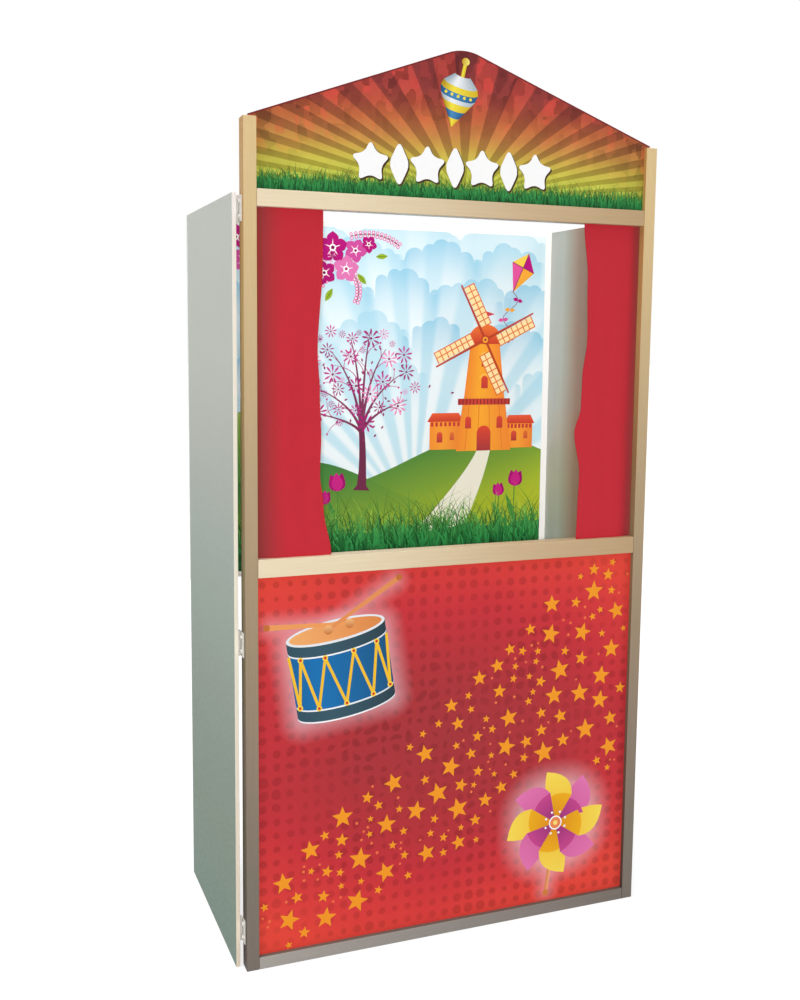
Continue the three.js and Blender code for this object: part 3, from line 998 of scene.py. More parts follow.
@dataclass(frozen=True)
class PanelPrint(PrintFinish):
    """Ground of the front panel: a red that darkens towards the middle, dots and soft glows."""

    stops: Stops
    middle: Place
    shares: Place
    glows: tuple[Glow, ...]
    pitch: float = 0.0222
    ink_loss: float = 0.24
    halo: str = "#F6CDD4"

    def ground(self, g: Graph, place: Value) -> Value:
        """Ellipse of reds, halftone dots over it, and the glows over both.

        Args:
            g: Graph of the material.
            place: Place in the frame, in metres.

        Returns:
            The colour.
        """
        moved = g.moved(place, self.middle)
        far = g.vector("LENGTH", g.scaled(moved, self.shares)).outputs["Value"]
        uneven = g.spread(g.noise(place, 7.0, 3.0), *NOISE, -0.05, 0.05)
        base = g.fade(g.plus(far, uneven), self.stops)
        wander = g.spread(far, 0.3, 0.9, 0.03, 0.001)
        dots = g.shared(dots_group(), Place=place, Pitch=self.pitch, Wander=wander).outputs["Mask"]
        faint = g.spread(g.noise(place, 5.0, 1.0), 0.34, 0.56, 0.45, 1.0)
        inked = g.lit(base, g.math("MULTIPLY_ADD", g.times(dots, faint), -self.ink_loss, 1.0))
        for glow in self.glows:
            arm = g.moved(place, glow.centre)
            inputs = {"Vector": arm, "Angle": glow.lean}
            turned = g.node("ShaderNodeVectorRotate", inputs, rotation_type="Y_AXIS")
            box = g.vector("ABSOLUTE", turned.outputs[0]).outputs[0]
            over = g.moved(box, glow.half)
            past = g.vector("MAXIMUM", over, (0.0, 0.0, 0.0)).outputs[0]
            away = g.vector("LENGTH", g.scaled(past, (1.0, 0.0, 1.0))).outputs["Value"]
            near = g.spread(away, glow.start, glow.start + glow.reach, 1.0, 0.0)
            share = g.times(g.math("POWER", near, 1.5), glow.strength)
            inked = g.mix(share, inked, linear(self.halo))
        return inked


@dataclass(frozen=True)
class Cloth(Finish):
    """Plain woven red cloth, with painted shade towards its outer edge, where it curls back beside the post.
    """

    # reach and darkest colour of the painted shade beside the post
    shade_reach: float
    dark: str
    thread: float = 0.0011

    def paint(self, g: Graph) -> None:
        """Painted shade across the curtain, a fine weave on its own map and a soft sheen.

        Args:
            g: Graph of the material.
        """
        given = g.node("ShaderNodeAttribute", attribute_name="across", attribute_type="GEOMETRY")
        across = given.outputs["Fac"]
        threads = g.node("ShaderNodeUVMap", uv_map="cloth").outputs[0]
        weave = g.shared(weave_group(), Place=threads, Pitch=self.thread).outputs["Height"]
        # painted shade: from the darkest colour at the outer edge to the cloth's own red
        stops = ((0.0, self.dark), (0.3, "#AC3E42"), (0.65, "#BF363E"), (1.0, "#CB313D"))
        colour = g.fade(g.math("DIVIDE", across, self.shade_reach), stops)
        mottle = g.shared(mottle_group(), Place=threads, Scale=24.0, Amount=0.03)
        tone = g.times(mottle.outputs["Factor"], g.spread(weave, 0.0, 1.0, 0.96, 1.02))
        rough = g.spread(weave, 0.0, 1.0, 0.95, 0.8)
        sheen = {"Sheen_Weight": 0.03, "Sheen_Roughness": 0.5, "Specular_IOR_Level": 0.05}
        g.dress(g.lit(colour, tone), rough, weave, 0.00012, **sheen)


@dataclass(frozen=True)
class Metal(Finish):
    """Brushed or plated metal."""

    colour: str
    roughness: float
    brushed: Place = (1.0, 1.0, 0.04)

    def paint(self, g: Graph) -> None:
        """Fine drawn lines and slightly dulled patches.

        Args:
            g: Graph of the material.
        """
        place = g.place()
        lines = g.noise(g.scaled(place, self.brushed), 2600.0, 2.0)
        dull = g.noise(place, 160.0, 3.0)
        colour = g.lit(tuple(linear(self.colour)), g.spread(dull, *NOISE, 0.9, 1.05))
        both = g.plus(g.times(lines, 0.12), g.times(dull, 0.14))
        g.dress(colour, g.plus(both, self.roughness - 0.13), lines, 0.00001, Metallic=1.0)


@dataclass(frozen=True)
class Pebbled(Finish):
    """Enamel or moulded plastic, with a fine pebbled skin."""

    colour: str

    def paint(self, g: Graph) -> None:
        """Pebbled skin and faint clouding.

        Args:
            g: Graph of the material.
        """
        place = g.place()
        spark = g.noise(place, 2200.0, 2.0)
        mottle = g.shared(mottle_group(), Place=place, Scale=90.0, Amount=0.03)
        colour = g.lit(tuple(linear(self.colour)), mottle.outputs["Factor"])
        g.dress(colour, g.spread(spark, *NOISE, 0.38, 0.5), spark, 0.00002)


# ---------------- pieces cut from the CAD nodes


@dataclass
class EasedBoard:
    """A stick or board of the CAD model: outer edges rounded over, and a finish for each way it faces."""

    node: str
    piece: str
    body: Body
    slot: Slot
    finish: Finish
    faces: dict[Facing, Finish] = field(default_factory=dict)
    ease: float = 0.0007

    def build(self) -> Piece:
        """Copies the node's mesh, merges it, rounds its outer edges and gives out the finishes.

        Returns:
            The piece, which replaces the node.
        """
        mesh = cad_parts[self.node].data.copy()
        mesh.name = self.piece
        low, high = (np.array(corner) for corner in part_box(self.node))
        work = bmesh.new()
        work.from_mesh(mesh)
        bmesh.ops.remove_doubles(work, verts=work.verts, dist=1e-6)
        bmesh.ops.dissolve_limit(work, angle_limit=math.radians(0.5), verts=work.verts, edges=work.edges)
        outer = [edge for edge in work.edges if self._is_outer(edge, low, high)]
        bmesh.ops.bevel(work, geom=outer, offset=self.ease, segments=2, profile=0.5, affect="EDGES")
        work.to_mesh(mesh)
        work.free()
        piece = handed_in(mesh, self.piece, self.body, [self.finish, *self.faces.values()])
        self._give_out(mesh)
        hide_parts(self.node)
        return piece

    def _is_outer(self, edge: bmesh.types.BMEdge, low: Array, high: Array) -> bool:
        """Whether an edge lies along one of the twelve edges of the node's box.

        Args:
            edge: The edge.
            low: Lower corner of the box.
            high: Upper corner of the box.

        Returns:
            True if it does.
        """
        ends = np.array([vert.co for vert in edge.verts])
        at_low = np.all(np.abs(ends - low) < CLOSE, axis=0)
        at_high = np.all(np.abs(ends - high) < CLOSE, axis=0)
        return int((at_low | at_high).sum()) == 2 and edge.calc_length() > 4 * self.ease

    def _give_out(self, mesh: Mesh) -> None:
        """Sets each face's material index by the way that it looks.

        Args:
            mesh: The mesh.
        """
        count = len(mesh.polygons)
        normals = np.empty(count * 3, np.float32)
        mesh.polygons.foreach_get("normal", normals)
        normals = normals.reshape(-1, 3)
        index = np.zeros(count, np.int32)
        for place, facing in enumerate(self.faces, start=1):
            index[normals @ np.array(facing.value, np.float32) > 0.75] = place
        mesh.polygons.foreach_set("material_index", index)
        mesh.polygons.foreach_set("use_smooth", np.zeros(count, bool))


# Posts' wood colour with painted shade: darker towards the floor.
POST_WOOD_AND_SHADE_STOPS = (
    (0.0, "#7A7169"), (0.16, "#7F7669"), (0.35, "#92816F"), (0.55, "#A28E73"), (0.78, "#B9A17E"),
    (1.0, "#CEB488"), (1.15, "#DABE8D"), (1.3, "#E0C490"),
)
# Posts' side faces: painted shade, darker than the front faces and darker still towards the floor.
POST_SIDE_SHADE_STOPS = (
    (0.0, "#4D4440"), (0.2, "#625647"), (0.35, "#726455"), (0.5, "#7B6D50"), (0.65, "#958764"),
    (0.8, "#A0855A"), (1.0, "#C6A469"), (1.3, "#CB9A58"),
)
# Rails' wood colour with painted shade: lighter at the left, darker to the right. The bottom rail's, near the
# floor, is greyer and darker, also painted shade.
RAIL_WOOD_AND_SHADE_STOPS = ((-0.33, "#EDDCBC"), (-0.2, "#ECDBB9"), (-0.05, "#DFCBA8"), (0.1, "#CFB490"), (0.33, "#BD9F78"))
FOOT_RAIL_WOOD_AND_SHADE_STOPS = ((-0.33, "#AAA69F"), (0.0, "#948F89"), (0.33, "#7B726B"))
# Bottom rail's top face: painted shade, darker than its front.
FOOT_RAIL_TOP_SHADE = ((-0.33, "#6E665D"), (0.33, "#5F574E"))


@dataclass
class FrontFrame:
    """The two posts and three rails of the front."""

    def build(self) -> None:
        """Makes the five sticks."""
        # The fades of these finishes, the posts' darker side faces and the bottom rail's darker top are
        # painted shade.
        post = StickWood("finish_post_face", Axis.Z, POST_WOOD_AND_SHADE_STOPS, Axis.Z)
        flank = StickWood("finish_post_flank", Axis.Z, POST_SIDE_SHADE_STOPS, Axis.Z)
        rail = StickWood("finish_rail_face", Axis.X, RAIL_WOOD_AND_SHADE_STOPS, Axis.X)
        foot_rail = StickWood("finish_foot_rail", Axis.X, FOOT_RAIL_WOOD_AND_SHADE_STOPS, Axis.X)
        foot_rail_top_shade = StickWood("finish_foot_rail_top", Axis.X, FOOT_RAIL_TOP_SHADE, Axis.X)
        for side in Side:
            flanks = {Facing.LEFT: flank, Facing.RIGHT: flank}
            self._stick(f"{side.word}_post", post, flanks)
        self._stick("upper_rail", rail, {})
        self._stick("middle_rail", rail, {})
        self._stick("bottom_rail", foot_rail, {Facing.TOP: foot_rail_top_shade})

    def _stick(self, node: str, finish: Finish, faces: dict[Facing, Finish]) -> None:
        """Makes one stick from its node."""
        EasedBoard(node, f"{node}_stick", Body.FRAME, Slot.FRAME_WOOD, finish, faces, 0.0008).build()


# Wings' outer faces: board colour with painted shade, darker towards the floor.
WING_BOARD_AND_SHADE_STOPS = (
    (0.06, "#6A8373"), (0.18, "#718572"), (0.3, "#788B7B"), (0.42, "#859586"), (0.54, "#92A394"),
    (0.66, "#A1AEA4"), (0.78, "#B4BBB0"), (0.95, "#C6CBC1"), (1.15, "#CED2C8"),
)
# Wings' inner faces, front to back: painted shade and a painted red reflection of the curtains, brownest just
# behind the curtains, pale grey-green at the back.
WING_INNER_SHADE_AND_REFLECTION_STOPS = (
    (-0.18, "#B6AFA5"), (-0.03, "#B1A69A"), (0.035, "#A38A79"), (0.067, "#AE9482"), (0.082, "#B8A596"),
    (0.097, "#BDB7A6"), (0.112, "#C2C4B8"), (0.127, "#CBD0C6"), (0.173, "#C9CDC6"),
)
WING_EDGE_STOPS = ((0.0, "#F8E8D2"), (0.2, "#FFF3DE"), (0.65, "#FFF9E6"), (1.2, "#FFFAF4"))


@dataclass
class Wing:
    """One wing: a laminated board with sawn edges. Its faces darken lower down as painted shade, and its
    inner face has painted shade and a painted red reflection of the curtains towards the front.
    """

    side: Side
    middle_x: float = 0.35925
    thickness: float = 0.0065

    def build(self) -> None:
        """Makes the board."""
        # The outer face's fade and the inner face's fade and darkening lower down are painted shade; the
        # inner fade also paints the curtains' red reflection.
        outer = Laminate("finish_wing_outer", WING_BOARD_AND_SHADE_STOPS)
        inner = Laminate("finish_wing_inner", WING_INNER_SHADE_AND_REFLECTION_STOPS, Axis.Y, 0.9)
        edge = LayeredEdge("finish_wing_edge", WING_EDGE_STOPS, self.middle_x, self.thickness)
        left = self.side is Side.LEFT
        ends = (Facing.FRONT, Facing.BACK, Facing.TOP, Facing.FOOT)
        faces: dict[Facing, Finish] = {facing: edge for facing in ends}
        faces[Facing.RIGHT if left else Facing.LEFT] = inner
        node = f"{self.side.word}_wing"
        body = Body.LEFT_WING if left else Body.RIGHT_WING
        EasedBoard(node, f"{node}_board", body, Slot.WING_BOARD, outer, faces, 0.0004).build()


# ---------------- printed boards


@dataclass
class Picture(Relief):
    """A board's picture in relief, with its own draws and the plants that the boards share."""

    half_width: float = 329.6
    seed: int = 0
    rng: np.random.Generator = field(init=False)

    def __post_init__(self) -> None:
        """Starts the draws."""
        self.rng = np.random.default_rng(self.seed)

    def board(self, node: str, piece: str, slot: Slot, ground: Finish) -> None:
        """Makes the front's board under the picture: raw fibreboard with the picture's ground on its front.

        Args:
            node: CAD node that it replaces.
            piece: Its name.
            slot: Its slot of the record.
            ground: Finish of its front.
        """
        bare = FibreBoard("finish_fibre_board")
        EasedBoard(node, piece, Body.FRAME, slot, bare, {Facing.FRONT: ground}, 0.0003).build()

    def spread_out(
        self, draw: Callable[[], Array], kinds: Iterable[tuple[float, float, int]], clear: float
    ) -> tuple[Array, Array]:
        """Draws places one after another and keeps those that are clear of the ones before.

        Two places are clear when they are further apart than clear times the sum of their reaches.

        Args:
            draw: Gives one place.
            kinds: Least reach, greatest reach and count of each kind, drawn in this order.
            clear: Share of the summed reaches that stays between two places.

        Returns:
            The places kept, (k, 2), and their reaches, (k,).
        """
        kept, sizes = np.empty((0, 2)), np.empty(0)
        for size in np.concatenate([self.rng.uniform(*kind) for kind in kinds]):
            place = draw()
            if np.all(np.linalg.norm(kept - place, axis=1) > clear * (sizes + size)):
                kept, sizes = np.vstack([kept, place]), np.append(sizes, size)
        return kept, sizes

    def grass(self, ranks: Iterable[tuple]) -> None:
        """Ranks of grass, one before the other, each blade GAP above or below its neighbours.

        A blade runs as x = x0 + lean t^2 and z = foot + h (t - droop t^2), and is w (1 - t)^0.7 wide.

        Args:
            ranks: Count, foot, lowest and highest height, width, lean, level, and colour at foot and tip.
        """
        t = np.linspace(0, 1, 5)
        shares = np.concatenate([t, t[-2::-1]])
        tiers, rng, reach = 16, self.rng, self.half_width
        for count, foot, low, high, width, lean, level, deep, light in ranks:
            start = np.sort(rng.uniform(-reach, reach, count))[:, None]
            height = (low + (high - low) * rng.beta(1.6, 3.0, count))[:, None]
            middle = start + rng.normal(0, lean, count)[:, None] * t**2
            up = foot + height * (t - rng.uniform(0.0, 0.42, count)[:, None] * t**2)
            half = width / 2 * rng.uniform(0.6, 1.3, count)[:, None] * (1 - t) ** 0.7
            right = joined(middle + half, up)
            left = joined(middle - half, up)[:, -2::-1]
            blades = np.concatenate([right, left], axis=1)
            blades[..., 0] = np.clip(blades[..., 0], -reach, reach)
            tone = rng.choice((0.42, 0.7, 0.95, 1.2, 1.5), count)[:, None, None]
            inks = np.broadcast_to(faded(shares, ((0.0, deep), (1.0, light))), (count, len(shares), 4)) * tone
            self.add(blades, np.clip(inks, 0, 1), level + GAP * (np.arange(count) % tiers))

    def blossom(self, centre: tuple, size: float, ink: str, level: float, petals: int, turn: float) -> None:
        """Flower of thin petals round a centre.

        Args:
            centre: Its middle.
            size: Its radius.
            ink: Its colour.
            level: Its height in levels.
            petals: How many petals.
            turn: Turn of the first one, in radians.
        """
        index = np.arange(petals)
        shape = petal(0.86, 0.2, 4, 1.5) + (0, 0.14)
        angles = turn + index * 2 * np.pi / petals
        self.stamp(shape, ink, level + GAP * (index % 3), np.repeat([centre], petals, 0), size, angles)

    def rosette(self, centre: tuple, size: float, inks: tuple[str, str], level: float, turn: float) -> None:
        """Flower of five broad petals with a white ring and stamens.

        Args:
            centre: Its middle.
            size: Its radius.
            inks: Colour of the petals and of the eye.
            level: Height of the petals in levels.
            turn: Turn of the first petal, in radians.
        """
        index = np.arange(5)
        angles = turn + index * 2 * np.pi / 5
        many = np.repeat([centre], 5, 0)
        self.stamp(petal(0.98, 0.78, 8, 1.35), inks[0], level + GAP * index, many, size, angles)
        self.stamp(petal(0.55, 0.07, 3), "#FBE9F2", level + 1.5, many, size, angles)
        self.stamp(disc(0.21, sides=14), "#FFFFFF", level + 2, centre, size)
        self.stamp(disc(0.12, sides=12), inks[1], level + 2.5, centre, size)


@dataclass
class GabledBoard(Picture):
    """The gabled board over the stage: a sunset ground, grass, a row of white shapes and a spinning top."""

    board_y: float = -0.1753
    seed: int = 11
    foot: float = 1200.4

    def build(self) -> None:
        """Makes the board and what is printed on it."""
        light = (
            (1.2, "#C6CE50"), (1.235, "#CBD152"), (1.255, "#D0C551"), (1.27, "#D2B54E"), (1.285, "#D09D4B"),
            (1.3, "#CE874A"), (1.32, "#CC7143"), (1.345, "#C45841"), (1.37, "#C24C43"), (1.43, "#B4423F"),
        )
        dark = (
            (1.2, "#AEB43F"), (1.235, "#B0AF3F"), (1.255, "#A99C3A"), (1.27, "#A78A3B"), (1.285, "#A5773B"),
            (1.3, "#A4683A"), (1.32, "#9D5635"), (1.345, "#9A4638"), (1.37, "#913C39"), (1.43, "#7C3336"),
        )
        ground = SunsetPrint("finish_gable_ground", light, dark, (0.004, 0.0, 1.203), (0.36, 0.0, 1.0), 22.0)
        self.board("pediment_board", "gabled_board", Slot.GABLE_PRINT, ground)
        self._rim()
        self._grass()
        self._row()
        self._spinning_top()
        self.make("gabled_board_print", Body.FRAME, Slot.GABLE_PRINT)

    def _rim(self) -> None:
        """A dark line along the gable, just inside the CAD board's own upper edge."""
        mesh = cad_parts["pediment_board"].data
        points = np.empty(len(mesh.vertices) * 3)
        mesh.vertices.foreach_get("co", points)
        points = points.reshape(-1, 3)[:, ::2] / MM
        upper = np.unique(np.round(points[points[:, 1] > 1305.9], 2), axis=0)
        self.line(upper - (0, 1.3), 2.2, "#7C282B", 1)

    def _grass(self) -> None:
        """A dark strip with ranks of blades before it."""
        x = np.linspace(-self.half_width, self.half_width, 60)
        low = at_height(x, self.foot)
        top = joined(x, 1217 + 1.5 * np.sin(x / 9.0) + 1.2 * np.sin(x / 3.7))
        self.patch(low, top, by_height((1200.0, "#226A3A"), (1218.0, "#38853F")), 5, 2)
        ranks = (
            (560, 1214.0, 10.0, 34.0, 1.2, 8.0, 1.0, "#3F8C45", "#8AA63C"),
            (300, 1214.0, 16.0, 44.0, 1.0, 14.0, 5.25, "#2E6B3A", "#55702F"),
            (560, 1209.0, 12.0, 36.0, 1.7, 6.0, 9.25, "#2B7A42", "#5E9A40"),
            (560, 1204.0, 12.0, 34.0, 2.4, 5.0, 13.25, "#226F3B", "#3F9048"),
            (480, 1200.5, 8.0, 28.0, 3.0, 4.0, 17.25, "#1C6436", "#338845"),
        )
        self.grass(ranks)

    def _row(self) -> None:
        """Seven white shapes, stars and diamonds in turn, each over a dark copy moved down and right."""
        centres = joined(np.linspace(-152, 127, 7), np.full(7, 1249.0))
        stars = softened(star(1.0, 0.52), 3, 0.22)
        diamond = softened(np.array([[0, -1.22], [0.6, 0], [0, 1.22], [-0.6, 0]]), 3, 0.16)
        for shape, size, chosen in ((stars, 33.5, slice(0, None, 2)), (diamond, 29.0, slice(1, None, 2))):
            self.stamp(shape, "#4A3A22", 21.5, centres[chosen] + (1.9, -2.2), size * 1.03)
            self.stamp(shape, "#FFFFFF", 23, centres[chosen], size)

    def _spinning_top(self) -> None:
        """A toy top that leans: bands of a turned profile, each shaded from one side to the other."""
        centre, lean, size = np.array([-8.0, 1362.0]), math.radians(-13), 1.26

        def band(low: float, high: float, reach: Callable, inks: tuple, level: float) -> None:
            """One band from low to high along the axis, bowed down by a fifth of its reach.

            Args:
                low: Lower end on the axis.
                high: Upper end on the axis.
                reach: Half width at each height.
                inks: Colours at its left, its middle and its right.
                level: Its height in levels.
            """
            v = np.linspace(low, high, 7)[:, None]
            u = np.linspace(-1, 1, 13)[None]
            grid = joined(reach(v) * u, v - 0.2 * reach(v) * np.sqrt(1.001 - u * u))
            turned = placed(grid.reshape(-1, 2), centre, size, lean)[0].reshape(grid.shape)
            shades = faded(u[0], ((-1.0, inks[0]), (-0.3, inks[1]), (1.0, inks[2])))
            self.patch(turned[0], turned[-1], shades, level, 1)

        def bell(v: Array) -> Array:
            """Half width of the body: 26 at its belt, falling as a root above and straight below.

            Args:
                v: Heights on the axis.

            Returns:
                The half widths.
            """
            above = 26 * np.sqrt(np.clip(1 - (v / 24) ** 2, 0.01, 1))
            below = 26 * np.clip(1 + v / 40, 0.03, 1) ** 0.9
            return np.where(v > 0, above, below)

        yellow, white = ("#B08A1E", "#FBE84A", "#D9B62A"), ("#8FA3B0", "#F7FAFC", "#A9B7C0")
        blue = ("#1E4E7C", "#4E90C4", "#255A88")
        bounds = (-41, -30, -20, -10, -4, 4, 11, 22)
        bands = (yellow, blue, yellow, white, blue, yellow, white)
        for index, (low, high, inks) in enumerate(zip(bounds, bounds[1:], bands)):
            band(low, high, bell, inks, 14 + index)
        band(20, 37, lambda v: np.full_like(v, 2.6), yellow, 21.5)
        knob = placed(disc(5.2, 4.6, 16), placed(np.array([[0.0, 39.0]]), centre, size, lean)[0], size, lean)
        self.add(knob, faded(disc(1, sides=16)[:, 0], ((-1, "#C79A22"), (1, "#FFF07A"))), 22)
        along = np.linspace(-17, 17, 5)
        sunk = 0.6 - 4.6 * np.sqrt(1 - (along / 26) ** 2)
        dots = placed(joined(along, sunk), centre, size, lean)[0]
        self.dots(dots, 2.4, 10, "#FBE84A", 22)


@dataclass
class FrontPanel(Picture):
    """The panel under the stage: reds with dots, a trail of stars, a drum and a pinwheel."""

    board_y: float = -0.1753
    low: float = 20.4
    high: float = 623.6
    drum: tuple[float, float] = (-194.0, 470.0)
    wheel: tuple[float, float] = (196.0, 158.0)
    seed: int = 5

    def build(self) -> None:
        """Makes the board and what is printed on it."""
        reds = ("#A6363C", "#AF363B", "#BC353C", "#CA353C", "#DB3E3D", "#E9493C")
        stops = tuple(zip((0.0, 0.35, 0.6, 0.8, 1.0, 1.2), reds))
        x, z = (place * MM for place in self.drum)
        hub_x, hub_z = (place * MM for place in self.wheel)
        glows = (
            Glow((x, 0.0, z - 0.006), (0.072, 0.0, 0.058), 0.157, 0.008, 0.038),
            Glow((x - 0.054, 0.0, z + 0.0724), (0.06, 0.0, 0.001), -0.023, 0.0, 0.03, 0.36),
            Glow((x + 0.037, 0.0, z + 0.101), (0.062, 0.0, 0.001), 0.569, 0.0, 0.03, 0.36),
            Glow((hub_x, 0.0, hub_z), (0.015, 0.0, 0.015), 0.0, 0.055, 0.046),
            Glow((hub_x - 0.012, 0.0, hub_z - 0.09), (0.001, 0.0, 0.03), -0.13, 0.0, 0.03, 0.36),
        )
        middle, shares = (-0.012, 0.0, 0.33), (1 / 0.43, 0.0, 1 / 0.28)
        ground = PanelPrint("finish_panel_ground", stops, middle, shares, glows)
        self.board("lower_front_panel", "front_panel", Slot.PANEL_PRINT, ground)
        self._stars()
        self._drum()
        self._pinwheel()
        self.make("front_panel_print", Body.FRAME, Slot.PANEL_PRINT)

    def _stars(self) -> None:
        """Stars strewn along a band that rises from the lower left corner and widens."""
        kinds = ((16, 20, 90), (10, 13.5, 220), (6, 9, 500), (2.6, 3.6, 260))

        def draw() -> Array:
            """A place in the band, or one far away if it falls on a figure or outside the panel.

            Returns:
                The place, (x, z).
            """
            x = self.rng.uniform(-self.half_width, self.half_width)
            share = (x + self.half_width) / (2 * self.half_width)
            z = 45 + 410 * share**0.9 + self.rng.uniform(-1, 1) * (48 + 165 * share)
            near_drum = ((x - self.drum[0]) / 160) ** 2 + ((z - self.drum[1]) / 165) ** 2 < 1
            near_wheel = ((x - self.wheel[0]) / 132) ** 2 + ((z - self.wheel[1] + 14) / 140) ** 2 < 1
            outside = not (self.low + 4 < z < self.high - 12)
            return np.array([x, z]) if not (near_drum or near_wheel or outside) else np.array([9e3, 9e3])

        places, sizes = self.spread_out(draw, kinds, 1.22)
        inside = np.abs(places[:, 0]) + sizes < self.half_width
        places, sizes = places[inside], sizes[inside]
        turns = self.rng.uniform(-0.35, 0.35, len(sizes))
        large = sizes > 4
        self.stamp(star(1.0, 0.43), "#F79D28", 1, places[large], sizes[large], turns[large])
        self.stamp(star(1.0, 0.5), "#F2764A", 1, places[~large], sizes[~large], turns[~large])

    def _drum(self) -> None:
        """A toy drum that leans, with a zigzag cord and two sticks."""
        centre, lean = np.array(self.drum), math.radians(9)
        half, rise, deep = 82.0, 53.0, 18.0

        def here(points: Array) -> Array:
            """Points of the drum's own axes on the panel."""
            return placed(np.asarray(points, float), centre, 1.0, lean)[0]

        def hoop(height: float, width: float) -> tuple[Array, Array]:
            """Lower and upper curve of the front of a hoop, (half cos a, height - deep sin a).

            Args:
                height: Its height on the drum's axis.
                width: Its width.

            Returns:
                The two curves.
            """
            a = np.linspace(np.pi, 0, 33)
            curve = joined(half * np.cos(a), height - deep * np.sin(a))
            return here(curve - (0, width / 2)), here(curve + (0, width / 2))

        u = np.linspace(0, 1, 33)
        shell = faded(u, ((0.0, "#175F98"), (0.35, "#1D74B4"), (0.7, "#1E6093"), (1.0, "#214F76")))
        self.patch(hoop(-rise, 4)[1], hoop(rise, 4)[0], shell, 2, 3)
        white = faded(u, ((0.0, "#E9EEF2"), (0.4, "#FFFFFF"), (1.0, "#DDE4EA")))
        teal = faded(u, ((0.0, "#33505F"), (0.4, "#3A5A68"), (1.0, "#2A3A43")))
        for height in (-rise, rise):
            self.patch(*hoop(height, 22), white, 4, 1)
            self.patch(*hoop(height, 17), teal, 5, 1)
        skin = placed(disc(half, deep, 40), here([[0, rise + 9]]), 1.0, lean)
        self.add(skin, "#E9EEF2", 4.5)
        ochre = faded(disc(1, sides=40)[:, 0], ((-1, "#F4B06E"), (0, "#F0A05E"), (1, "#E08A4A")))
        self.stamp(disc(half - 5, deep - 3.4, 40), ochre, 5.5, here([[0, rise + 9]]), 1.0, lean)
        self._cord(here, half, rise, deep)
        sticks = (((-108, 92), (24, 68), "#F0A05E", 7), ((116, 122), (-12, 66), "#E8945A", 9))
        for start, end, ink, level in sticks:
            stick = np.array([start, end], float)
            tip = here(stick[1:])
            body = here(stick[0] + np.linspace(0, 1, 8)[:, None] * (stick[1] - stick[0]))
            self.line(body, np.linspace(8.5, 5.5, 8), ink, level)
            round_ink = faded(disc(1, sides=20)[:, 1], ((-1, "#C9743A"), (1, "#F8BC80")))
            self.dots(tip, 7.6, 20, round_ink, level + 1)
            self.dots(here(stick[:1]), 5.2, 16, "#C9743A", level + 1)

    def _cord(self, here: Callable, half: float, rise: float, deep: float) -> None:
        """The zigzag cord round the shell, with a knob at each turn.

        Args:
            here: Places points of the drum's axes.
            half: Half the drum's width.
            rise: Half the distance between the hoops.
            deep: Depth of the hoops' curve.
        """
        angles = np.linspace(np.pi * 0.97, np.pi * 0.03, 11)
        x = half * np.cos(angles)
        sag = deep * np.sin(angles)
        z = np.where(np.arange(11) % 2 == 0, rise - 13, -rise + 13) - sag
        knots = joined(x, z)
        for index, (first, second) in enumerate(zip(knots[:-1], knots[1:])):
            line = here(first + np.linspace(0, 1, 4)[:, None] * (second - first))
            self.line(line, 4.6, "#F6C431", 3 + 0.5 * (index % 2))
        self.dots(here(knots[1:-1]), 4.6, 14, "#FBD84A", 6)
        self.dots(here(knots[1:-1]), 2.4, 12, "#D8392B", 7)

    def _pinwheel(self) -> None:
        """A paper pinwheel of eight vanes on a stick, each vane with its folded corner."""
        centre = np.array(self.wheel)
        stick = np.array([centre, centre + (-16, -124)])
        path = stick[0] + np.linspace(0, 1, 8)[:, None] * (stick[1] - stick[0])
        shade = faded(np.concatenate([np.zeros(8), np.ones(8)]), ((0.0, "#D98246"), (1.0, "#F6B077")))
        self.line(path, 6.4, shade, 2)
        self.dots(stick[1:], 5.6, 16, "#D98246", 3)
        radius = 90.0
        hub = (0.0, 0.0)
        back_edge = bend((0.74, 0.74), (0.3, 0.58), hub, 7)[1:-1]
        sail = np.concatenate([[hub], bend((0.62, 0.0), (0.99, 0.22), (0.74, 0.74), 7), back_edge])
        crease = bend((0.30, 0.42), (0.1, 0.2), hub, 5)[1:-1]
        fold = np.concatenate([[hub], bend((0.62, 0.0), (0.55, 0.34), (0.30, 0.42), 7), crease])
        reach_sail, reach_fold = np.linalg.norm(sail, axis=1), np.linalg.norm(fold, axis=1)
        inks = (("#C9498F", "#E77BB5", "#8E2F73"), ("#F2B21E", "#FDE25A", "#DE8A1E"))
        for index in range(8):
            deep, light, back = inks[index % 2]
            turn = index * np.pi / 4 + 0.2
            shades = faded(reach_sail, ((0.0, deep), (1.05, light)))
            self.stamp(sail, shades, 4 + GAP * index, centre, radius, turn)
            shades = faded(reach_fold, ((0.0, back), (0.62, deep)))
            self.stamp(fold, shades, 6.5 + GAP * index, centre, radius, turn)
        ring = np.arange(8) * np.pi / 4 + 0.35
        beads = centre + 20 * joined(np.cos(ring), np.sin(ring))
        self.dots(beads, 2.1, 10, "#FFFFFF", 9)
        for size, ink, level in ((12.5, "#FFFFFF", 9), (10.2, "#EE8A52", 10), (4.2, "#FFE37A", 11)):
            self.dots(centre, size, 22, ink, level)


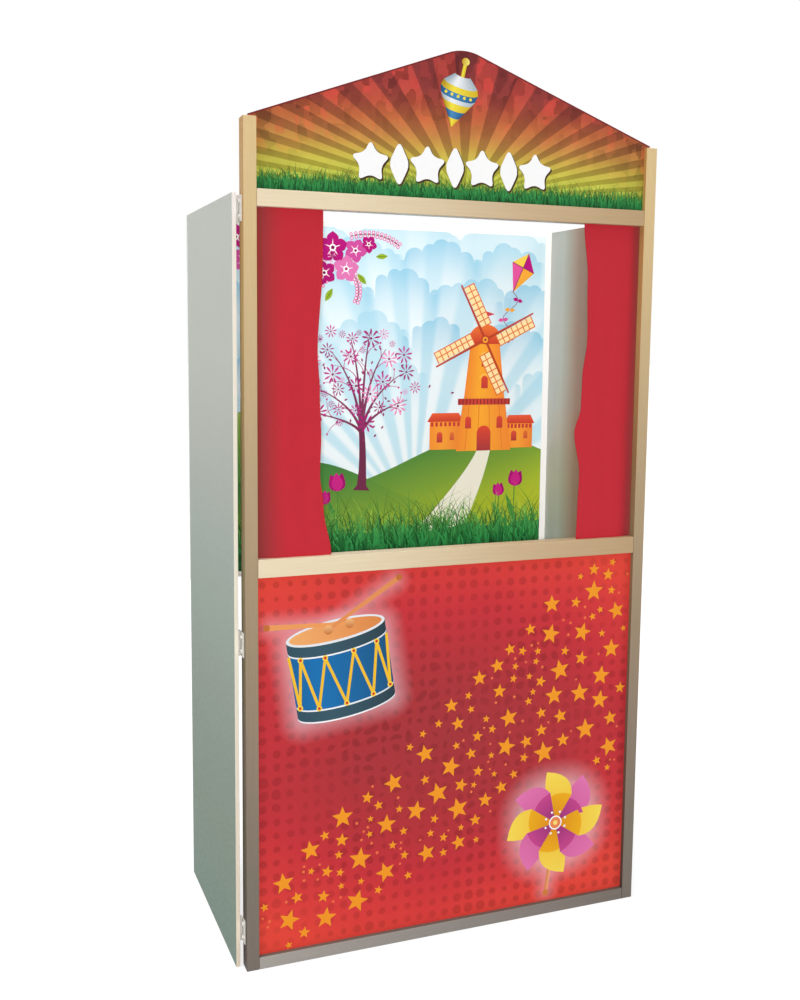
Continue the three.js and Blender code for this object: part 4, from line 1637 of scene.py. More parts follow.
@dataclass(frozen=True)
class Cloud:
    """A cloud of the picture, in millimetres: a row of arcs at its top, and it fades downwards."""

    x: float
    base: float
    wide: float
    tall: float
    seed: int
    ink: str = "#8CC9E4"
    strength: float = 0.85
    fall: float = 62.0

    def top(self, x: Array) -> Array:
        """Height of the upper edge: middle + sqrt(size^2 - (x - x0)^2) of the highest arc.

        Args:
            x: Places along the picture, of any shape.

        Returns:
            The heights, in the same shape.
        """
        rng = np.random.default_rng(self.seed)
        count = max(5, round(self.wide / 13))
        u = (np.linspace(-0.84, 0.84, count) + rng.uniform(-0.05, 0.05, count)).reshape(-1, *[1] * x.ndim)
        size = self.wide * rng.uniform(0.17, 0.29, u.shape) * (1 - 0.3 * np.abs(u))
        middle = self.base + self.tall * (1 - np.abs(u) ** 1.7) * rng.uniform(0.75, 1.0, u.shape) - 0.8 * size
        inside = size**2 - (x[None] - self.x - u * self.wide) ** 2
        arcs = np.where(inside > 0, middle + np.sqrt(np.clip(inside, 0, None)), self.base - 12)
        return arcs.max(axis=0)

    def share(self, points: Array) -> Array:
        """How much of the cloud's ink is at each point: v^1.3 from its foot to a dome, less at its ends.

        Args:
            points: Points of the picture, (x, z) on the last axis.

        Returns:
            The shares, 0 to 1.
        """
        foot = self.base - self.fall
        out = np.clip(np.abs(points[..., 0] - self.x) / self.wide, 0, 1)
        v = (points[..., 1] - foot) / (self.base + self.tall * (1 - out**1.7) - foot)
        inside = points[..., 1] < self.top(points[..., 0]) + 0.1
        return self.strength * np.where(inside, np.clip(v, 0, 1) ** 1.3, 0) * smooth((1 - out) / 0.22)


@dataclass
class Backdrop(Picture):
    """The board behind the stage: white with a picture of hills, a mill, a tree and flowers."""

    board_y: float = 0.1773
    half_width: float = 343.5
    low: float = 560.0
    high: float = 1187.0
    seed: int = 23
    clouds: tuple[Cloud, ...] = tuple(Cloud(*row) for row in (
        (-150, 1156, 112, 44, 21, "#B9DEEC", 0.75), (52, 1164, 116, 44, 22, "#A9D8EA", 0.75),
        (246, 1158, 110, 44, 23, "#B9DEEC", 0.75), (-250, 1116, 95, 56, 1),
        (-40, 1128, 88, 44, 2, "#A4D6EA"), (120, 1120, 92, 54, 3), (262, 1122, 84, 46, 4, "#9CD2E8"),
        (40, 1064, 84, 52, 5), (186, 1052, 96, 56, 6, "#98D0E8"), (310, 1046, 80, 50, 7),
        (-110, 1050, 100, 60, 8, "#9CD2E8"), (-290, 1030, 90, 60, 9), (-20, 986, 80, 50, 10, "#A4D6EA"),
        (112, 980, 76, 48, 11), (262, 968, 98, 56, 12), (30, 906, 70, 42, 13, "#ACDAED"),
        (-200, 930, 96, 50, 14), (336, 886, 60, 40, 15, "#A4D6EA"),
    ))

    def build(self) -> None:
        """Makes the board and what is printed on it."""
        pale = ((0.5, "#F2F2F0"), (1.2, "#F8F8F7"))
        white = Laminate("finish_white_board", pale, roughness=0.4, amount=0.018)
        EasedBoard(
            "backdrop_board", "backdrop_panel", Body.BACKDROP, Slot.BACKDROP_PRINT, white, ease=0.0004
        ).build()
        self._sky()
        self._hills()
        self._mill()
        self._tree()
        self._bough()
        self._kite()
        self._foreground()
        self.make("backdrop_print", Body.BACKDROP, Slot.BACKDROP_PRINT)

    def _sky_ink(self, points: Array, clouds: Iterable[Cloud]) -> Array:
        """Sky with beams, some of its clouds over it, and fainter beams over those.

        Args:
            points: Places, (..., 2).
            clouds: The clouds, from the furthest to the nearest.

        Returns:
            The colours, (..., 4).
        """
        blues = ("#C9E8F3", "#BFE3F0", "#C4E5F1", "#D3ECF5", "#DAEFF7", "#E6F5FA")
        fades = tuple(zip((700, 820, 960, 1080, 1150, 1187), blues))
        arm = points - (70.0, 640.0)
        angle = np.arctan2(arm[..., 0], arm[..., 1])
        swing = np.abs((angle * 17 / np.pi + 0.16 * np.sin(9.3 * angle)) % 1 - 0.5) * 2
        reach = np.linalg.norm(arm, axis=-1)
        beam = smooth((swing - 0.3) / 0.4) * np.interp(reach, [90, 420, 600], [0.66, 0.46, 0.12])
        ink = faded(points[..., 1], fades)
        ink += (linear("#F8FDFE") - ink) * beam[..., None]
        for cloud in clouds:
            ink += (linear(cloud.ink) - ink) * cloud.share(points)[..., None]
        ink += (linear("#F8FDFE") - ink) * 0.35 * beam[..., None]
        return ink

    def _sky(self) -> None:
        """The sky as one fine surface, and each cloud as a surface of its own, so that its edge is sharp."""
        sky = Relief(self.board_y)
        x = np.linspace(-self.half_width, self.half_width, 250)
        low, high = (at_height(x, z) for z in (690.0, self.high))
        sky.patch(low, high, lambda p: self._sky_ink(p, ()), 2 * GAP, 170)
        for index, cloud in enumerate(self.clouds):
            ends = np.clip((cloud.x - cloud.wide, cloud.x + cloud.wide), -self.half_width, self.half_width)
            across = np.linspace(*ends, 90)
            upper = joined(across, np.minimum(cloud.top(across), self.high))
            lower = at_height(across, cloud.base - cloud.fall)
            seen = self.clouds[: index + 1]
            sky.patch(lower, upper, lambda p, seen=seen: self._sky_ink(p, seen), (3 + index) * GAP, 26)
        sky.make("backdrop_sky_print", Body.BACKDROP, Slot.BACKDROP_PRINT)

    def _hill_ink(self, points: Array, left: bool) -> Array:
        """Green of a hill, which grows lighter downwards and to the right.

        Args:
            points: Points of the picture, (x, z) on the last axis.
            left: Whether it is the left hill.

        Returns:
            The colours, on the last axis.
        """
        drop = (792 - points[..., 1]) / 200
        share = drop * 0.75 + (points[..., 0] + 140) / 900 * (0.7 if left else 1.0)
        stops = ((0.0, "#2C6E3C"), (0.3, "#4A843C"), (0.6, "#7A9F39"), (0.85, "#A4B832"), (1.0, "#B2BE30"))
        return faded(np.clip(share, 0, 1), stops)

    def _hills(self) -> None:
        """Two hills that overlap, a leafy bush on the left one, and a path that widens towards the front."""
        x = np.linspace(-self.half_width, self.half_width, 70)
        base = at_height(x, self.low)
        far = joined(x, 700 + 88 * np.exp(-(((x - 215) / 210) ** 2)) + 12 * np.sin(x / 140))
        near = joined(x, 640 + 118 * np.exp(-(((x + 150) / 205) ** 2)))
        bush = Cloud(-262, 770, 92, 96, 31)
        across = np.linspace(-338, -170, 80)
        crown = joined(across, bush.top(across))
        leaves = ((640, "#3F7C3A"), (760, "#5E9446"), (830, "#86AC52"), (870, "#A9C46A"))
        self.patch(at_height(across, 650.0), crown, by_height(*leaves), 4.75, 8)
        self.patch(base, far, lambda p: self._hill_ink(p, False), 5.25, 12)
        self.patch(base, near, lambda p: self._hill_ink(p, True), 6, 12)
        left = bend((203, 772), (170, 706), (26, 575), 16)
        right = bend((231, 772), (214, 690), (152, 575), 16)
        cream = ((560, "#F2F0DE"), (772, "#E9EAD8"))
        self.patch(left[::-1].copy(), right[::-1].copy(), by_height(*cream), 6.75, 3)

    def _mill(self) -> None:
        """A mill of orange walls with a red cap, a gallery, four sails and two low sheds."""
        middle, foot = 216.0, 783.0

        def wall(
            x: float, wide: float, top_wide: float, low: float, high: float, inks: tuple, level: float
        ) -> None:
            """A wall that narrows upwards, shaded across.

            Args:
                x: Its middle.
                wide: Width at its foot.
                top_wide: Width at its top.
                low: Its foot.
                high: Its top.
                inks: Colours from left to right.
                level: Its height in levels.
            """
            u = np.linspace(-0.5, 0.5, 9)
            shades = faded(u, ((-0.5, inks[0]), (-0.1, inks[1]), (0.5, inks[2])))
            self.patch(
                at_height(x + u * wide, low), at_height(x + u * top_wide, high),
                shades, level, 4,
            )

        def arch(x: float, low: float, wide: float, tall: float, inks: tuple[str, str], level: float) -> None:
            """A round-headed opening.

            Args:
                x: Its middle.
                low: Its foot.
                wide: Its width.
                tall: Height of its straight sides.
                inks: Colours at its foot and its head.
                level: Its height in levels.
            """
            head = disc(wide / 2, wide / 2, 24)[:13] + (x, low + tall)
            shape = np.concatenate([[[x - wide / 2, low], [x + wide / 2, low]], head])
            self.add(shape, faded(shape[:, 1], ((low, inks[0]), (low + tall + wide / 2, inks[1]))), level)

        orange = ("#EE8A35", "#F7AC36", "#EF8A38")
        for x, wide, tall in ((middle - 82, 66, 44), (middle + 78, 58, 38)):
            wall(x, wide, wide, foot - 10, foot + tall, ("#F08F36", "#F3A13A", "#E98337"), 7)
            roof = np.array([[-0.58, 0], [0.58, 0], [0.42, 0.42], [-0.42, 0.42]])
            roof = roof * (wide, 40) + (x, foot + tall)
            self.add(roof, faded(roof[:, 1], ((foot + tall, "#C8402F"), (foot + tall + 17, "#E5603A"))), 8)
            teeth = joined(x + np.linspace(-0.42, 0.42, 7) * wide, np.full(7, foot + tall - 5))
            self.stamp(box_outline(5, 8), "#C53A38", 8, teeth)
            arch(x - 12, foot + 4, 12, 14, ("#B23B3A", "#D9523C"), 8)
            arch(x + 14, foot + 8, 9, 11, ("#C7553A", "#E0703A"), 8)
        wall(middle, 118, 92, foot - 14, foot + 78, orange, 9)
        wall(middle, 88, 62, foot + 84, foot + 196, orange, 10)
        for x in (-0.36, -0.12, 0.12, 0.36):
            stay = np.array([[middle + x * 112, foot - 12], [middle + x * 90, foot + 76]])
            self.line(stay, 1.6, "#E27A33", 10)
        arch(middle, foot - 14, 30, 34, ("#A43D40", "#DC4A34"), 11)
        for x in (-34, 34):
            arch(middle + x, foot + 30, 13, 17, ("#BF3F3A", "#D94B36"), 11)
        for z in (108, 150):
            arch(middle, foot + z, 14, 17, ("#BF3F3A", "#D94B36"), 11)
            spring = foot + z + 19
            brow = bend((middle - 11, spring), (middle, spring + 17), (middle + 11, spring), 10)
            self.line(brow, 2.4, "#F9C65A", 12)
        wall(middle, 112, 112, foot + 76, foot + 88, ("#B23A33", "#D2493A", "#B8403A"), 12)
        posts = joined(middle + np.linspace(-53, 53, 15), np.full(15, foot + 82.0))
        self.stamp(box_outline(2.4, 12), "#8C2F33", 13, posts)
        eaves = [[middle - 36, foot + 194], [middle + 36, foot + 194]]
        cap = np.concatenate([eaves, disc(36, 34, 32)[1:16] + (middle, foot + 198)])
        self.add(cap, faded(cap[:, 1], ((foot + 194, "#C93F2E"), (foot + 232, "#EE7A3C"))), 12)
        mast = np.array([[middle, foot + 230], [middle, foot + 258]], float)
        self.line(mast, np.array([2.6, 1.2]), "#E2702F", 11)
        flag = np.array([[0, 0], [20, -5.5], [0, -11]], float) + (middle, foot + 257)
        self.add(flag, "#CF3E4C", 12)
        self._sails(np.array([middle, foot + 202]))

    def _sails(self, hub: Array) -> None:
        """Four sails: a canvas, its lattice and the arm, turned a quarter each time.

        Args:
            hub: Middle of the sails.
        """
        turns = math.radians(27) + np.arange(4) * np.pi / 2
        hubs = np.repeat([hub], 4, 0)
        canvas = box_outline(22, 84) + (14, 66)
        self.stamp(canvas, "#FBE2A8", 14, hubs, 1.0, turns)
        for z in np.linspace(24, 108, 8):
            self.stamp(box_outline(23, 2.0) + (14, z), "#DD6A33", 15, hubs, 1.0, turns)
        for x in (14.0, 25.0):
            self.stamp(box_outline(2.0, 86) + (x, 66), "#DD6A33", 16, hubs, 1.0, turns)
        arm = np.array([[-2.6, -6], [2.6, -6], [1.6, 116], [-1.6, 116]], float)
        self.stamp(arm, "#B8452E", 17, hubs, 1.0, turns)
        for size, ink, level in ((9.0, "#B8452E", 18), (6.0, "#F5A63A", 19), (2.4, "#8C2F33", 20)):
            self.dots(hub, size, 18, ink, level)

    def _tree(self) -> None:
        """A tree in blossom: a trunk, limbs, twigs and flowers of thin petals."""
        root = np.array([-38.0, 700.0])
        trunk = root + bend((0, 0), (5, 60), (0, 116), 14)
        width = np.interp(np.linspace(0, 1, 14), [0, 0.07, 0.3, 1], [34, 19, 15, 11])
        self.line(trunk, width, "#6E2D4A", 10)
        fork = root + (0, 108)
        tips = ((-84, 84), (-58, 150), (-22, 176), (16, 190), (48, 158), (78, 110), (92, 62), (-96, 40))
        ends = np.array(tips, float)
        for index, end in enumerate(ends):
            limb = bend(tuple(fork), tuple(fork + (end * (0.15, 0.62))), tuple(fork + end), 14)
            self.line(limb, np.linspace(6.5, 1.2, 14), "#7C3558", 8 + GAP * index)
            for share, swing in ((0.5, 0.9), (0.72, -0.8), (0.86, 0.6)):
                start = limb[int(share * 13)]
                away = (fork + end - start) * 0.7
                turn = np.array([[math.cos(swing), -math.sin(swing)], [math.sin(swing), math.cos(swing)]])
                tip = start + turn @ away + (0, 8)
                twig = bend(tuple(start), tuple(start + away * 0.55), tuple(tip), 9)
                level = 6.5 + GAP * ((index + int(9 * share)) % 6)
                self.line(twig, np.linspace(2.0, 0.7, 9), "#B4437F", level)
                self.dots(tip, 2.0, 10, "#C03B86", 10.25)
        middle = fork + (-4, 98)

        def draw() -> Array:
            """A place in the crown's ellipse."""
            angle, far = self.rng.uniform(0, 2 * np.pi), np.sqrt(self.rng.uniform(0.02, 1))
            return middle + (118 * far * np.cos(angle), 96 * far * np.sin(angle) + 8)

        kinds = ((17, 20, 16), (11, 14, 40), (6, 8, 70))
        places, sizes = self.spread_out(draw, kinds, 0.82)
        inks = ("#B3197D", "#E58FC0", "#C23A90", "#B8388C", "#9C2A72")
        for index, (place, size) in enumerate(zip(places, sizes)):
            self.blossom(tuple(place), size, inks[index % 5], 11 + 0.75 * (index % 7), 9, index * 0.7)
            self.dots(place, 0.13 * size, 10, "#7A1F58", 16.5)
        buds = middle + self.rng.normal(0, 1, (46, 2)) * (58, 48)
        turns = self.rng.uniform(0, 2 * np.pi, 46)
        self.stamp(petal(7.5, 3.6, 4), "#8A2B62", 10.25 + GAP * (np.arange(46) % 3), buds, 1.0, turns)

    def _bough(self) -> None:
        """Broad flowers, leaves and strings of beads that hang in from the top left corner."""
        strings = (
            bend((-60, 1172), (-5, 1186), (34, 1158), 13), bend((-70, 1120), (-34, 1086), (-50, 1052), 12),
            bend((-300, 1150), (-330, 1120), (-344, 1100), 8),
            bend((-110, 1090), (-150, 1050), (-146, 1010), 12),
        )
        for line in strings:
            normal = np.gradient(line, axis=0)[:, ::-1] * (-1, 1)
            normal /= np.linalg.norm(normal, axis=1, keepdims=True)
            self.line(line, 1.2, "#6C5A24", 8)
            beads = np.concatenate([line + 3.6 * normal, line - 3.6 * normal])
            self.dots(beads, 3.3, 12, "#D9569E", 8.5 + GAP * (np.arange(len(beads)) % 2))
            self.dots(beads, 1.9, 10, "#FCE3EF", 9)
        leaves = ((-48, 1104, 26, -2.4), (-12, 1136, 24, -1.5), (-96, 1076, 28, 2.6), (-330, 1130, 24, 1.0))
        for x, z, size, turn in leaves:
            self.stamp(petal(1.0, 0.42, 8), "#8FAF2C", 9.25, (x, z), size, turn)
            self.stamp(petal(0.92, 0.06, 4), "#5E7A1E", 9.75, (x, z), size, turn)
        flowers = (
            (-96, 1150, 30), (-52, 1146, 23), (-112, 1104, 24), (-70, 1112, 26),
            (-26, 1158, 17), (-140, 1140, 26), (-180, 1150, 28), (-226, 1152, 27),
            (-276, 1162, 24.5), (-262, 1122, 25), (-298, 1128, 22), (-320, 1162, 21),
        )
        petals = ("#B01277", "#C84C9B", "#A8116F", "#D874B0")
        inks = tuple(zip(petals, ("#7E0F57", "#8E1C66", "#6E0D4C", "#A12A78")))
        for index, (x, z, size) in enumerate(flowers):
            self.rosette((x, z), size, inks[index % 4], 9 + 3 * (index % 4), index * 0.8)
        spots = np.array([-85.0, 1128.0]) + self.rng.normal(0, 1, (14, 2)) * (30, 20)
        for index, spot in enumerate(spots):
            if spot[1] < 1174:
                self.blossom(tuple(spot), 9.0, "#EFA0C8", 8 + 0.75 * (index % 3), 8, index * 0.5)

    def _kite(self) -> None:
        """A kite of four gores at the upper right, with a tail of bows."""
        centre, lean = (292.0, 1118.0), math.radians(-24)
        tips = np.array([[0, 38], [26, 8], [0, -44], [-26, 8]], float)
        inks = ("#B5177E", "#F3A93B", "#E0559E", "#F7CF52")
        for index, ink in enumerate(inks):
            gore = np.array([tips[index], (0, 8), tips[(index + 1) % 4]])
            self.stamp(gore, ink, 9 + 0.1 * index, centre, 1.0, lean)
        for first, second in ((0, 2), (1, 3)):
            self.stamp(stroke(tips[[first, second]], 1.4), "#7A1F58", 11, centre, 1.0, lean)
        start = placed(tips[2:3], centre, 1.0, lean)[0, 0]
        t = np.linspace(0, 1, 26)
        tail = start + joined(-14 * t + 13 * np.sin(t * 9), -96 * t)
        self.line(tail, 1.3, "#8A2B62", 9)
        for index, place in enumerate(tail[4::5]):
            lean = 1.3 + 0.2 * index
            pair = placed(petal(11, 7.5, 5, 0.8), np.repeat([place], 2, 0), 1.0, (lean, lean + np.pi))
            self.add(pair, inks[index % 4], 10)

    def _foreground(self) -> None:
        """Tulips and ranks of grass along the foot of the picture."""
        bells = ((286, 702, 1.0, -0.1), (252, 684, 0.8, 0.12), (-84, 706, 1.05, 0.1), (-112, 682, 0.8, -0.1))
        for x, z, size, lean in bells:
            stem = bend((x + 6, 575), (x - 4, 620), (x, z), 10)
            self.line(stem, 2.2, "#4E8A3A", 7)
            leaf = petal(66 * size, 13 * size, 8, 0.8)
            self.stamp(leaf, "#3F8A3E", 7.5, (x + 4, 620), 1.0, 0.35)
            turns = lean + np.array([-0.34, 0.34, 0.0])
            cup = placed(petal(34, 22, 8, 0.75), np.repeat([(x, z - 6)], 3, 0), size, turns)
            for index, ink in enumerate(("#9C1069", "#A8146F", "#C42585")):
                self.add(cup[index], ink, 9 + 0.5 * index)
        x = np.linspace(-self.half_width, self.half_width, 50)
        low = at_height(x, self.low)
        top = joined(x, 622 + 4 * np.sin(x / 23) + 3 * np.sin(x / 9))
        self.patch(low, top, by_height((560, "#1F6437"), (640, "#3B823F")), 14.25, 3)
        ranks = (
            (250, 624.0, 26.0, 92.0, 1.8, 26.0, 10.25, "#5E9A3C", "#A9C94E"),
            (250, 622.0, 40.0, 118.0, 1.7, 38.0, 14.5, "#2F6A35", "#5F9038"),
            (380, 608.0, 26.0, 88.0, 3.0, 22.0, 18.5, "#2A7A40", "#5E9E44"),
            (400, 594.0, 24.0, 80.0, 4.2, 17.0, 22.5, "#237239", "#43934A"),
            (340, 578.0, 24.0, 74.0, 5.4, 14.0, 26.5, "#1D6636", "#2F8743"),
        )
        self.grass(ranks)


# ---------------- curtains


@dataclass
class Curtain:
    """One curtain: cloth that curls back beside its post, with soft waves, hemmed edges and painted shade
    beside the post.
    """

    side: Side
    edge: tuple[tuple[float, float], ...]
    # reach and darkest colour of the painted shade beside the post
    shade_reach: float
    dark: str
    outer: float = 0.3297
    widest: float = 0.118
    head: float = 1.1747
    drop: float = 0.5224
    front: float = -0.1753
    thickness: float = 0.0012
    roll: float = 0.005
    rolled: float = 0.36
    ripple: float = 0.0011
    waves: int = 5
    columns: int = 72
    rows: int = 120
    hem: float = 0.011

    def build(self) -> None:
        across, down, width, setback = self._surface()
        x = self.side.value * (self.outer - across * width)
        z = self.head - down * self.drop
        thick = self.thickness * self._hems(across, down, width)
        place = joined(x, self.front + setback, z)
        normal = self._normals(place)
        near, far = place - normal * thick[..., None] / 2, place + normal * thick[..., None] / 2
        name = f"{self.side.word}_curtain_cloth"
        mesh, steps = self._mesh(name, near, far, across, down)
        body = Body.LEFT_CURTAIN if self.side is Side.LEFT else Body.RIGHT_CURTAIN
        finish = Cloth(f"finish_{self.side.word}_curtain", self.shade_reach, self.dark)
        piece = handed_in(mesh, name, body, [finish])
        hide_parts(f"{self.side.word}_curtain")

    def _surface(self) -> tuple[Array, Array, Array, Array]:
        """The middle of the cloth over a grid.

        The width follows the edge table, eased between its pairs. The setback behind the frame's
        front is half the thickness, a roll of (1 - smooth(across / rolled))^2 at the outer edge, and
        waves of (1 - cos(waves pi across + down)) / 2 that grow over the upper half.

        Returns:
            Share across, share down, width in metres and setback in metres, each (rows, columns).
        """
        u = np.linspace(0, 1, self.columns + 1)[None]
        v = np.linspace(0, 1, self.rows + 1)[:, None]
        places = np.array([place for place, _ in self.edge])
        shares = np.array([share for _, share in self.edge])
        step = np.clip(np.searchsorted(places, v, side="left"), 1, len(places) - 1)
        blend = smooth((v - places[step - 1]) / (places[step] - places[step - 1]))
        width = self.widest * (shares[step - 1] + (shares[step] - shares[step - 1]) * blend)
        roll = 1 - smooth(u / self.rolled)
        wave = (1 - np.cos(self.waves * np.pi * u + v)) / 2
        back = self.thickness / 2 + self.roll * roll**2 + self.ripple * wave * smooth(v / 0.5)
        across, down = np.broadcast_arrays(u, v)
        return across, down, np.broadcast_to(width, across.shape), back

    def _hems(self, across: Array, down: Array, width: Array) -> Array:
        """Thickness as a share: 1.3 on the turned hems, 0.85 on their seams and 1 elsewhere.

        Args:
            across: Shares across the curtain.
            down: Shares down the curtain.
            width: Widths, in metres.

        Returns:
            The shares, for each point of the grid.
        """
        to_free = (1 - across) * width
        to_foot = (1 - down) * self.drop
        edge = np.minimum(to_free, to_foot)
        turned = 0.3 * (1 - smooth((edge - self.hem) / 0.0016))
        seam = -0.45 * np.exp(-(((edge - self.hem + 0.0018) / 0.0012) ** 2))
        return 1 + turned + seam

    def _normals(self, place: Array) -> Array:
        """Unit normals of the grid: the cross product of its two tangents, turned to the back.

        Args:
            place: Points of the grid, (x, y, z) on the last axis.

        Returns:
            The normals, on the last axis.
        """
        normal = np.cross(np.gradient(place, axis=1), np.gradient(place, axis=0))
        normal /= np.linalg.norm(normal, axis=-1, keepdims=True)
        return normal * np.sign(normal[..., 1:2])

    def _mesh(self, name: str, near: Array, far: Array, across: Array, down: Array) -> tuple[Mesh, Array]:
        """Closed mesh of two grids joined at their borders, with its flat map.

        Args:
            name: Name of the mesh.
            near: Front surface, (rows, columns, 3).
            far: Back surface.
            across: Share across.
            down: Share down.

        Returns:
            The mesh, and the length of cloth from the outer edge to each point of a row.
        """
        high, wide = near.shape[:2]
        index = np.arange(high * wide).reshape(high, wide)
        corners = [index[:-1, :-1], index[1:, :-1], index[1:, 1:], index[:-1, 1:]]
        quads = joined(*corners).reshape(-1, 4)
        ring = np.concatenate([index[:, 0], index[-1, 1:], index[-2::-1, -1], index[0, -2:0:-1]])
        count = high * wide
        rim = joined(ring, np.roll(ring, -1))
        walls = joined(rim[:, 1], rim[:, 0], rim[:, 0] + count, rim[:, 1] + count)
        faces = np.concatenate([quads, quads[:, ::-1] + count, walls])
        if self.side is Side.RIGHT:
            faces = faces[:, ::-1]
        points = np.concatenate([near.reshape(-1, 3), far.reshape(-1, 3)])
        mesh = bpy.data.meshes.new(name)
        mesh.from_pydata(points.tolist(), [], faces.tolist())
        middle = (near + far) / 2
        lengths = np.linalg.norm(np.diff(middle, axis=1), axis=-1)
        steps = np.concatenate([np.zeros((high, 1)), np.cumsum(lengths, axis=1)], axis=1)
        flat = joined(steps, down * self.drop).reshape(-1, 2)
        corners = np.empty(len(mesh.loops), np.int32)
        mesh.loops.foreach_get("vertex_index", corners)
        chart = mesh.uv_layers.new(name="cloth")
        chart.data.foreach_set("uv", np.concatenate([flat, flat])[corners].astype(np.float32).ravel())
        share = mesh.attributes.new("across", "FLOAT", "POINT")
        share.data.foreach_set("value", np.tile(across.reshape(-1), 2).astype(np.float32))
        mesh.polygons.foreach_set("use_smooth", np.ones(len(mesh.polygons), bool))
        mesh.set_sharp_from_angle(angle=math.radians(50))
        return mesh, steps


# ---------------- fittings kept from the CAD model


@dataclass
class Fittings:
    """Hinges, screws, brackets, magnets, track, gliders and dowels, which keep their CAD shapes."""

    def dress(self) -> None:
        """Gives every such node its finish by its name."""
        steel = Metal("finish_hinge_steel", "#B9BDC2", 0.32)
        nickel = Metal("finish_magnet_nickel", "#D6D2C8", 0.2, (1.0, 1.0, 1.0))
        alloy = Metal("finish_track_alloy", "#D4D6D8", 0.36, (0.04, 1.0, 1.0))
        glider = Pebbled("finish_glider_plastic", "#F1F0EA")
        enamel = Pebbled("finish_white_enamel", "#F4F1EA")
        dowel = StickWood("finish_dowel_wood", Axis.Z, ((0.0, "#DCC49A"), (1.3, "#E2CBA2")), Axis.X)
        rules = (
            ("_leaf", enamel), ("_pin", enamel), ("_screw_", enamel), ("_ledge", steel), ("_magnet", nickel),
            ("_strike_plate", steel), ("curtain_track", alloy), ("_glider_", glider), ("_dowel", dowel),
        )
        for name, node in sorted(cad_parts.items()):
            chosen = [finish for part, finish in rules if part in name]
            if chosen and not node.hide_render:
                for holder in node.material_slots:
                    holder.material = chosen[0].material()
                LOG.info("%s: %s", name, chosen[0].name)


# ---------------- studio


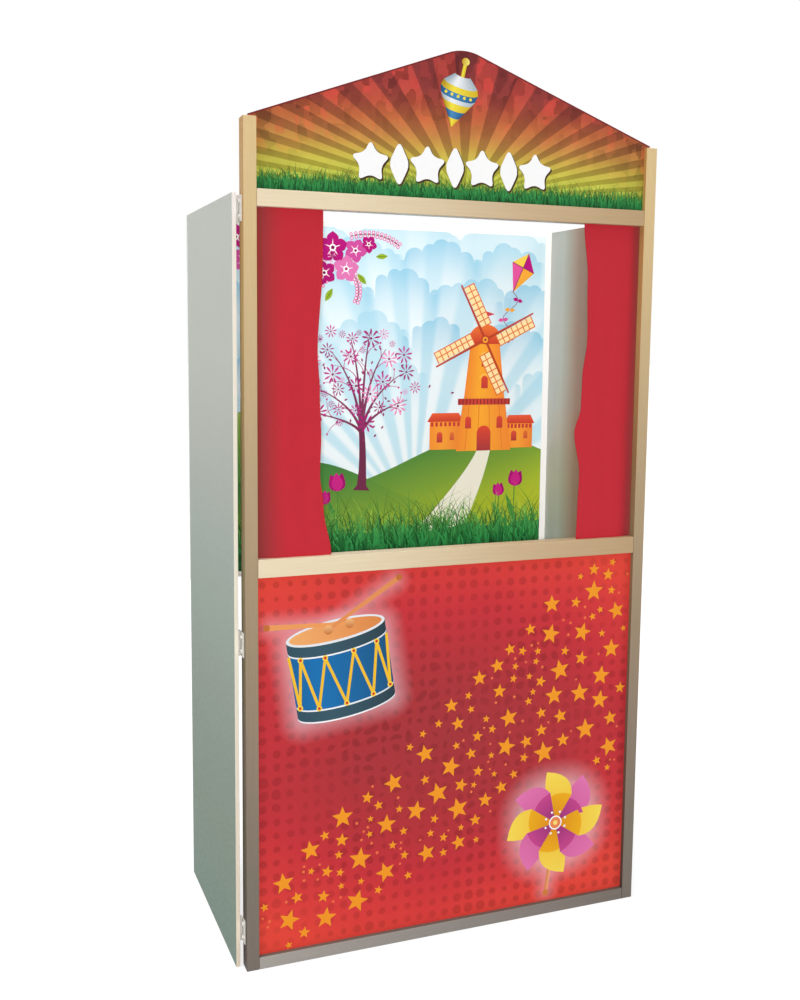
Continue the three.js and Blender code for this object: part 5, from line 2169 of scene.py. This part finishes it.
@dataclass
class Studio:
    """Camera, floor, world and lamps."""

    eye: Place = (-0.74337, -1.80332, 0.98340)
    look: Place = (0.35678, 0.92757, -0.11101)
    upright: Place = (0.03112, 0.10696, 0.99378)
    lens: float = 40.40
    shift: tuple[float, float] = (0.01081, -0.03494)
    sensor: float = 36.0
    furthest: float = 200.0
    floor_half: float = 40.0
    floor_sunk: float = 0.0003
    floor_glow: float = 0.65
    ambient: float = 0.42
    lens_light: float = 12.0
    stage_light: float = 16.0
    lens_lamp_radius: float = 0.04
    lamps: tuple[tuple[str, Place, float, float], ...] = (
        ("top_light", (0.3, 0.1, -0.95), 1.2, 30.0),
        ("right_light", (-0.8, 0.3, -0.52), 0.9, 40.0),
        ("rear_light", (-0.1, -0.8, -0.59), 0.9, 40.0),
    )

    def build(self) -> None:
        """Makes the studio."""
        self._camera()
        self._floor()
        self._world()
        self._lens_lamp("lens_light", self.lens_light)
        for lamp in self.lamps:
            self._lamp(*lamp)
        bpy.context.scene.view_settings.view_transform = "Standard"

    def _camera(self) -> None:
        """Camera at the photograph's place: its axes are right, up and backwards as columns."""
        data = bpy.data.cameras.new("camera")
        data.sensor_width, data.sensor_fit, data.lens = self.sensor, "AUTO", self.lens
        data.shift_x, data.shift_y = self.shift
        data.clip_end = self.furthest
        back = -Vector(self.look).normalized()
        right = Vector(self.upright).cross(back).normalized()
        up = back.cross(right)
        camera = linked("camera", data)
        camera.matrix_world = Matrix.Translation(self.eye) @ Matrix((right, up, back)).transposed().to_4x4()
        bpy.context.scene.camera = camera

    def _floor(self) -> None:
        """A wide pale floor that the camera sees white, and that keeps the object's shadow."""
        mesh = bpy.data.meshes.new("floor")
        half, sunk = self.floor_half, -self.floor_sunk
        corners = [(-half, -half, sunk), (half, -half, sunk), (half, half, sunk), (-half, half, sunk)]
        mesh.from_pydata(corners, [], [(0, 1, 2, 3)])
        linked("floor", mesh)
        made = bpy.data.materials.new("finish_floor")
        made.use_nodes = True
        g, shader = Graph(made.node_tree), made.node_tree.nodes["Principled BSDF"]
        seen = self._seen(g)
        g.feed(shader.inputs["Base Color"], g.mix(seen, linear("#C8C8C8"), linear("#ACACAC")))
        g.feed(shader.inputs["Emission Color"], g.mix(seen, (0, 0, 0, 1), (1, 1, 1, 1)))
        shader.inputs["Emission Strength"].default_value = self.floor_glow
        shader.inputs["Roughness"].default_value = 0.9
        shader.inputs["Specular IOR Level"].default_value = 0.0
        mesh.materials.append(made)

    def _world(self) -> None:
        """White to the camera and to reflections, and a plain level of light to everything else."""
        world = bpy.data.worlds.new("studio")
        bpy.context.scene.world = world
        world.use_nodes = True
        g = Graph(world.node_tree)
        background = world.node_tree.nodes["Background"]
        g.feed(background.inputs["Color"], (1.0, 1.0, 1.0, 1.0))
        g.feed(background.inputs["Strength"], g.spread(self._seen(g), 0.0, 1.0, self.ambient, 1.0))

    def _seen(self, g: Graph) -> Socket:
        """1 for rays from the camera, from reflections and through glass, and 0 for light.

        Args:
            g: Graph of the material or the world.

        Returns:
            The value.
        """
        path = g.node("ShaderNodeLightPath").outputs
        seen = g.math("MAXIMUM", path["Is Camera Ray"], path["Is Glossy Ray"])
        return g.math("MAXIMUM", seen, path["Is Transmission Ray"])

    def light_stage(self, names: Iterable[str]) -> None:
        """Adds light for the pieces inside the booth, which the front shades from the other lamps.

        Args:
            names: Names of the pieces that it falls on.
        """
        lit = bpy.data.collections.new("lit_in_the_booth")
        for name in names:
            lit.objects.link(bpy.data.objects[name])
        self._lens_lamp("stage_light", self.stage_light).light_linking.receiver_collection = lit

    def _lens_lamp(self, name: str, strength: float) -> Piece:
        """A small lamp at the lens, as bright near by as far off: its shadows fall behind what casts them.

        Args:
            name: Its name.
            strength: Its strength.

        Returns:
            The lamp.
        """
        data = bpy.data.lights.new(name, "POINT")
        data.energy, data.shadow_soft_size, data.use_nodes = strength, self.lens_lamp_radius, True
        g = Graph(data.node_tree)
        even = g.node("ShaderNodeLightFalloff", {"Strength": 1.0}).outputs["Constant"]
        g.feed(data.node_tree.nodes["Emission"].inputs["Strength"], even)
        lamp = linked(name, data)
        lamp.location = self.eye
        return lamp

    def _lamp(self, name: str, toward: Place, strength: float, angle: float) -> None:
        """A far, soft lamp.

        Args:
            name: Its name.
            toward: Direction that its light travels in.
            strength: Its strength.
            angle: Its apparent width in degrees.
        """
        data = bpy.data.lights.new(name, "SUN")
        data.energy, data.angle = strength, math.radians(angle)
        lamp = linked(name, data)
        lamp.rotation_mode = "QUATERNION"
        lamp.rotation_quaternion = Vector(toward).normalized().to_track_quat("-Z", "Y")


# the curtains' free edges: share down the cloth, and its width there as a share of the widest
LEFT_EDGE = (
    (0, 0.877), (0.14, 0.873), (0.4, 0.809), (0.52, 0.84), (0.65, 0.86), (0.76, 0.845), (0.86, 0.895), (1, 1),
)
RIGHT_EDGE = (
    (0, 0.917), (0.17, 0.842), (0.36, 0.818), (0.48, 0.88), (0.575, 0.89), (0.655, 0.983), (0.79, 0.887),
    (0.9, 0.903), (1, 0.914),
)


def main() -> None:
    """Builds the studio and every sub-assembly."""
    logging.basicConfig(level=logging.INFO, format="%(name)s %(message)s")
    studio = Studio()
    studio.build()
    parts: Iterable = (
        FrontFrame(), Wing(Side.LEFT), Wing(Side.RIGHT), GabledBoard(), FrontPanel(), Backdrop(),
        # each curtain's last two values: reach and darkest colour of its painted shade
        Curtain(Side.LEFT, LEFT_EDGE, 0.42, "#97403B"), Curtain(Side.RIGHT, RIGHT_EDGE, 0.2, "#A54A42"),
    )
    for part in parts:
        LOG.info("building %s", type(part).__name__)
        part.build()
    Fittings().dress()
    studio.light_stage(("backdrop_panel", "backdrop_sky_print", "backdrop_print"))


if __name__ == "__main__":
    main()
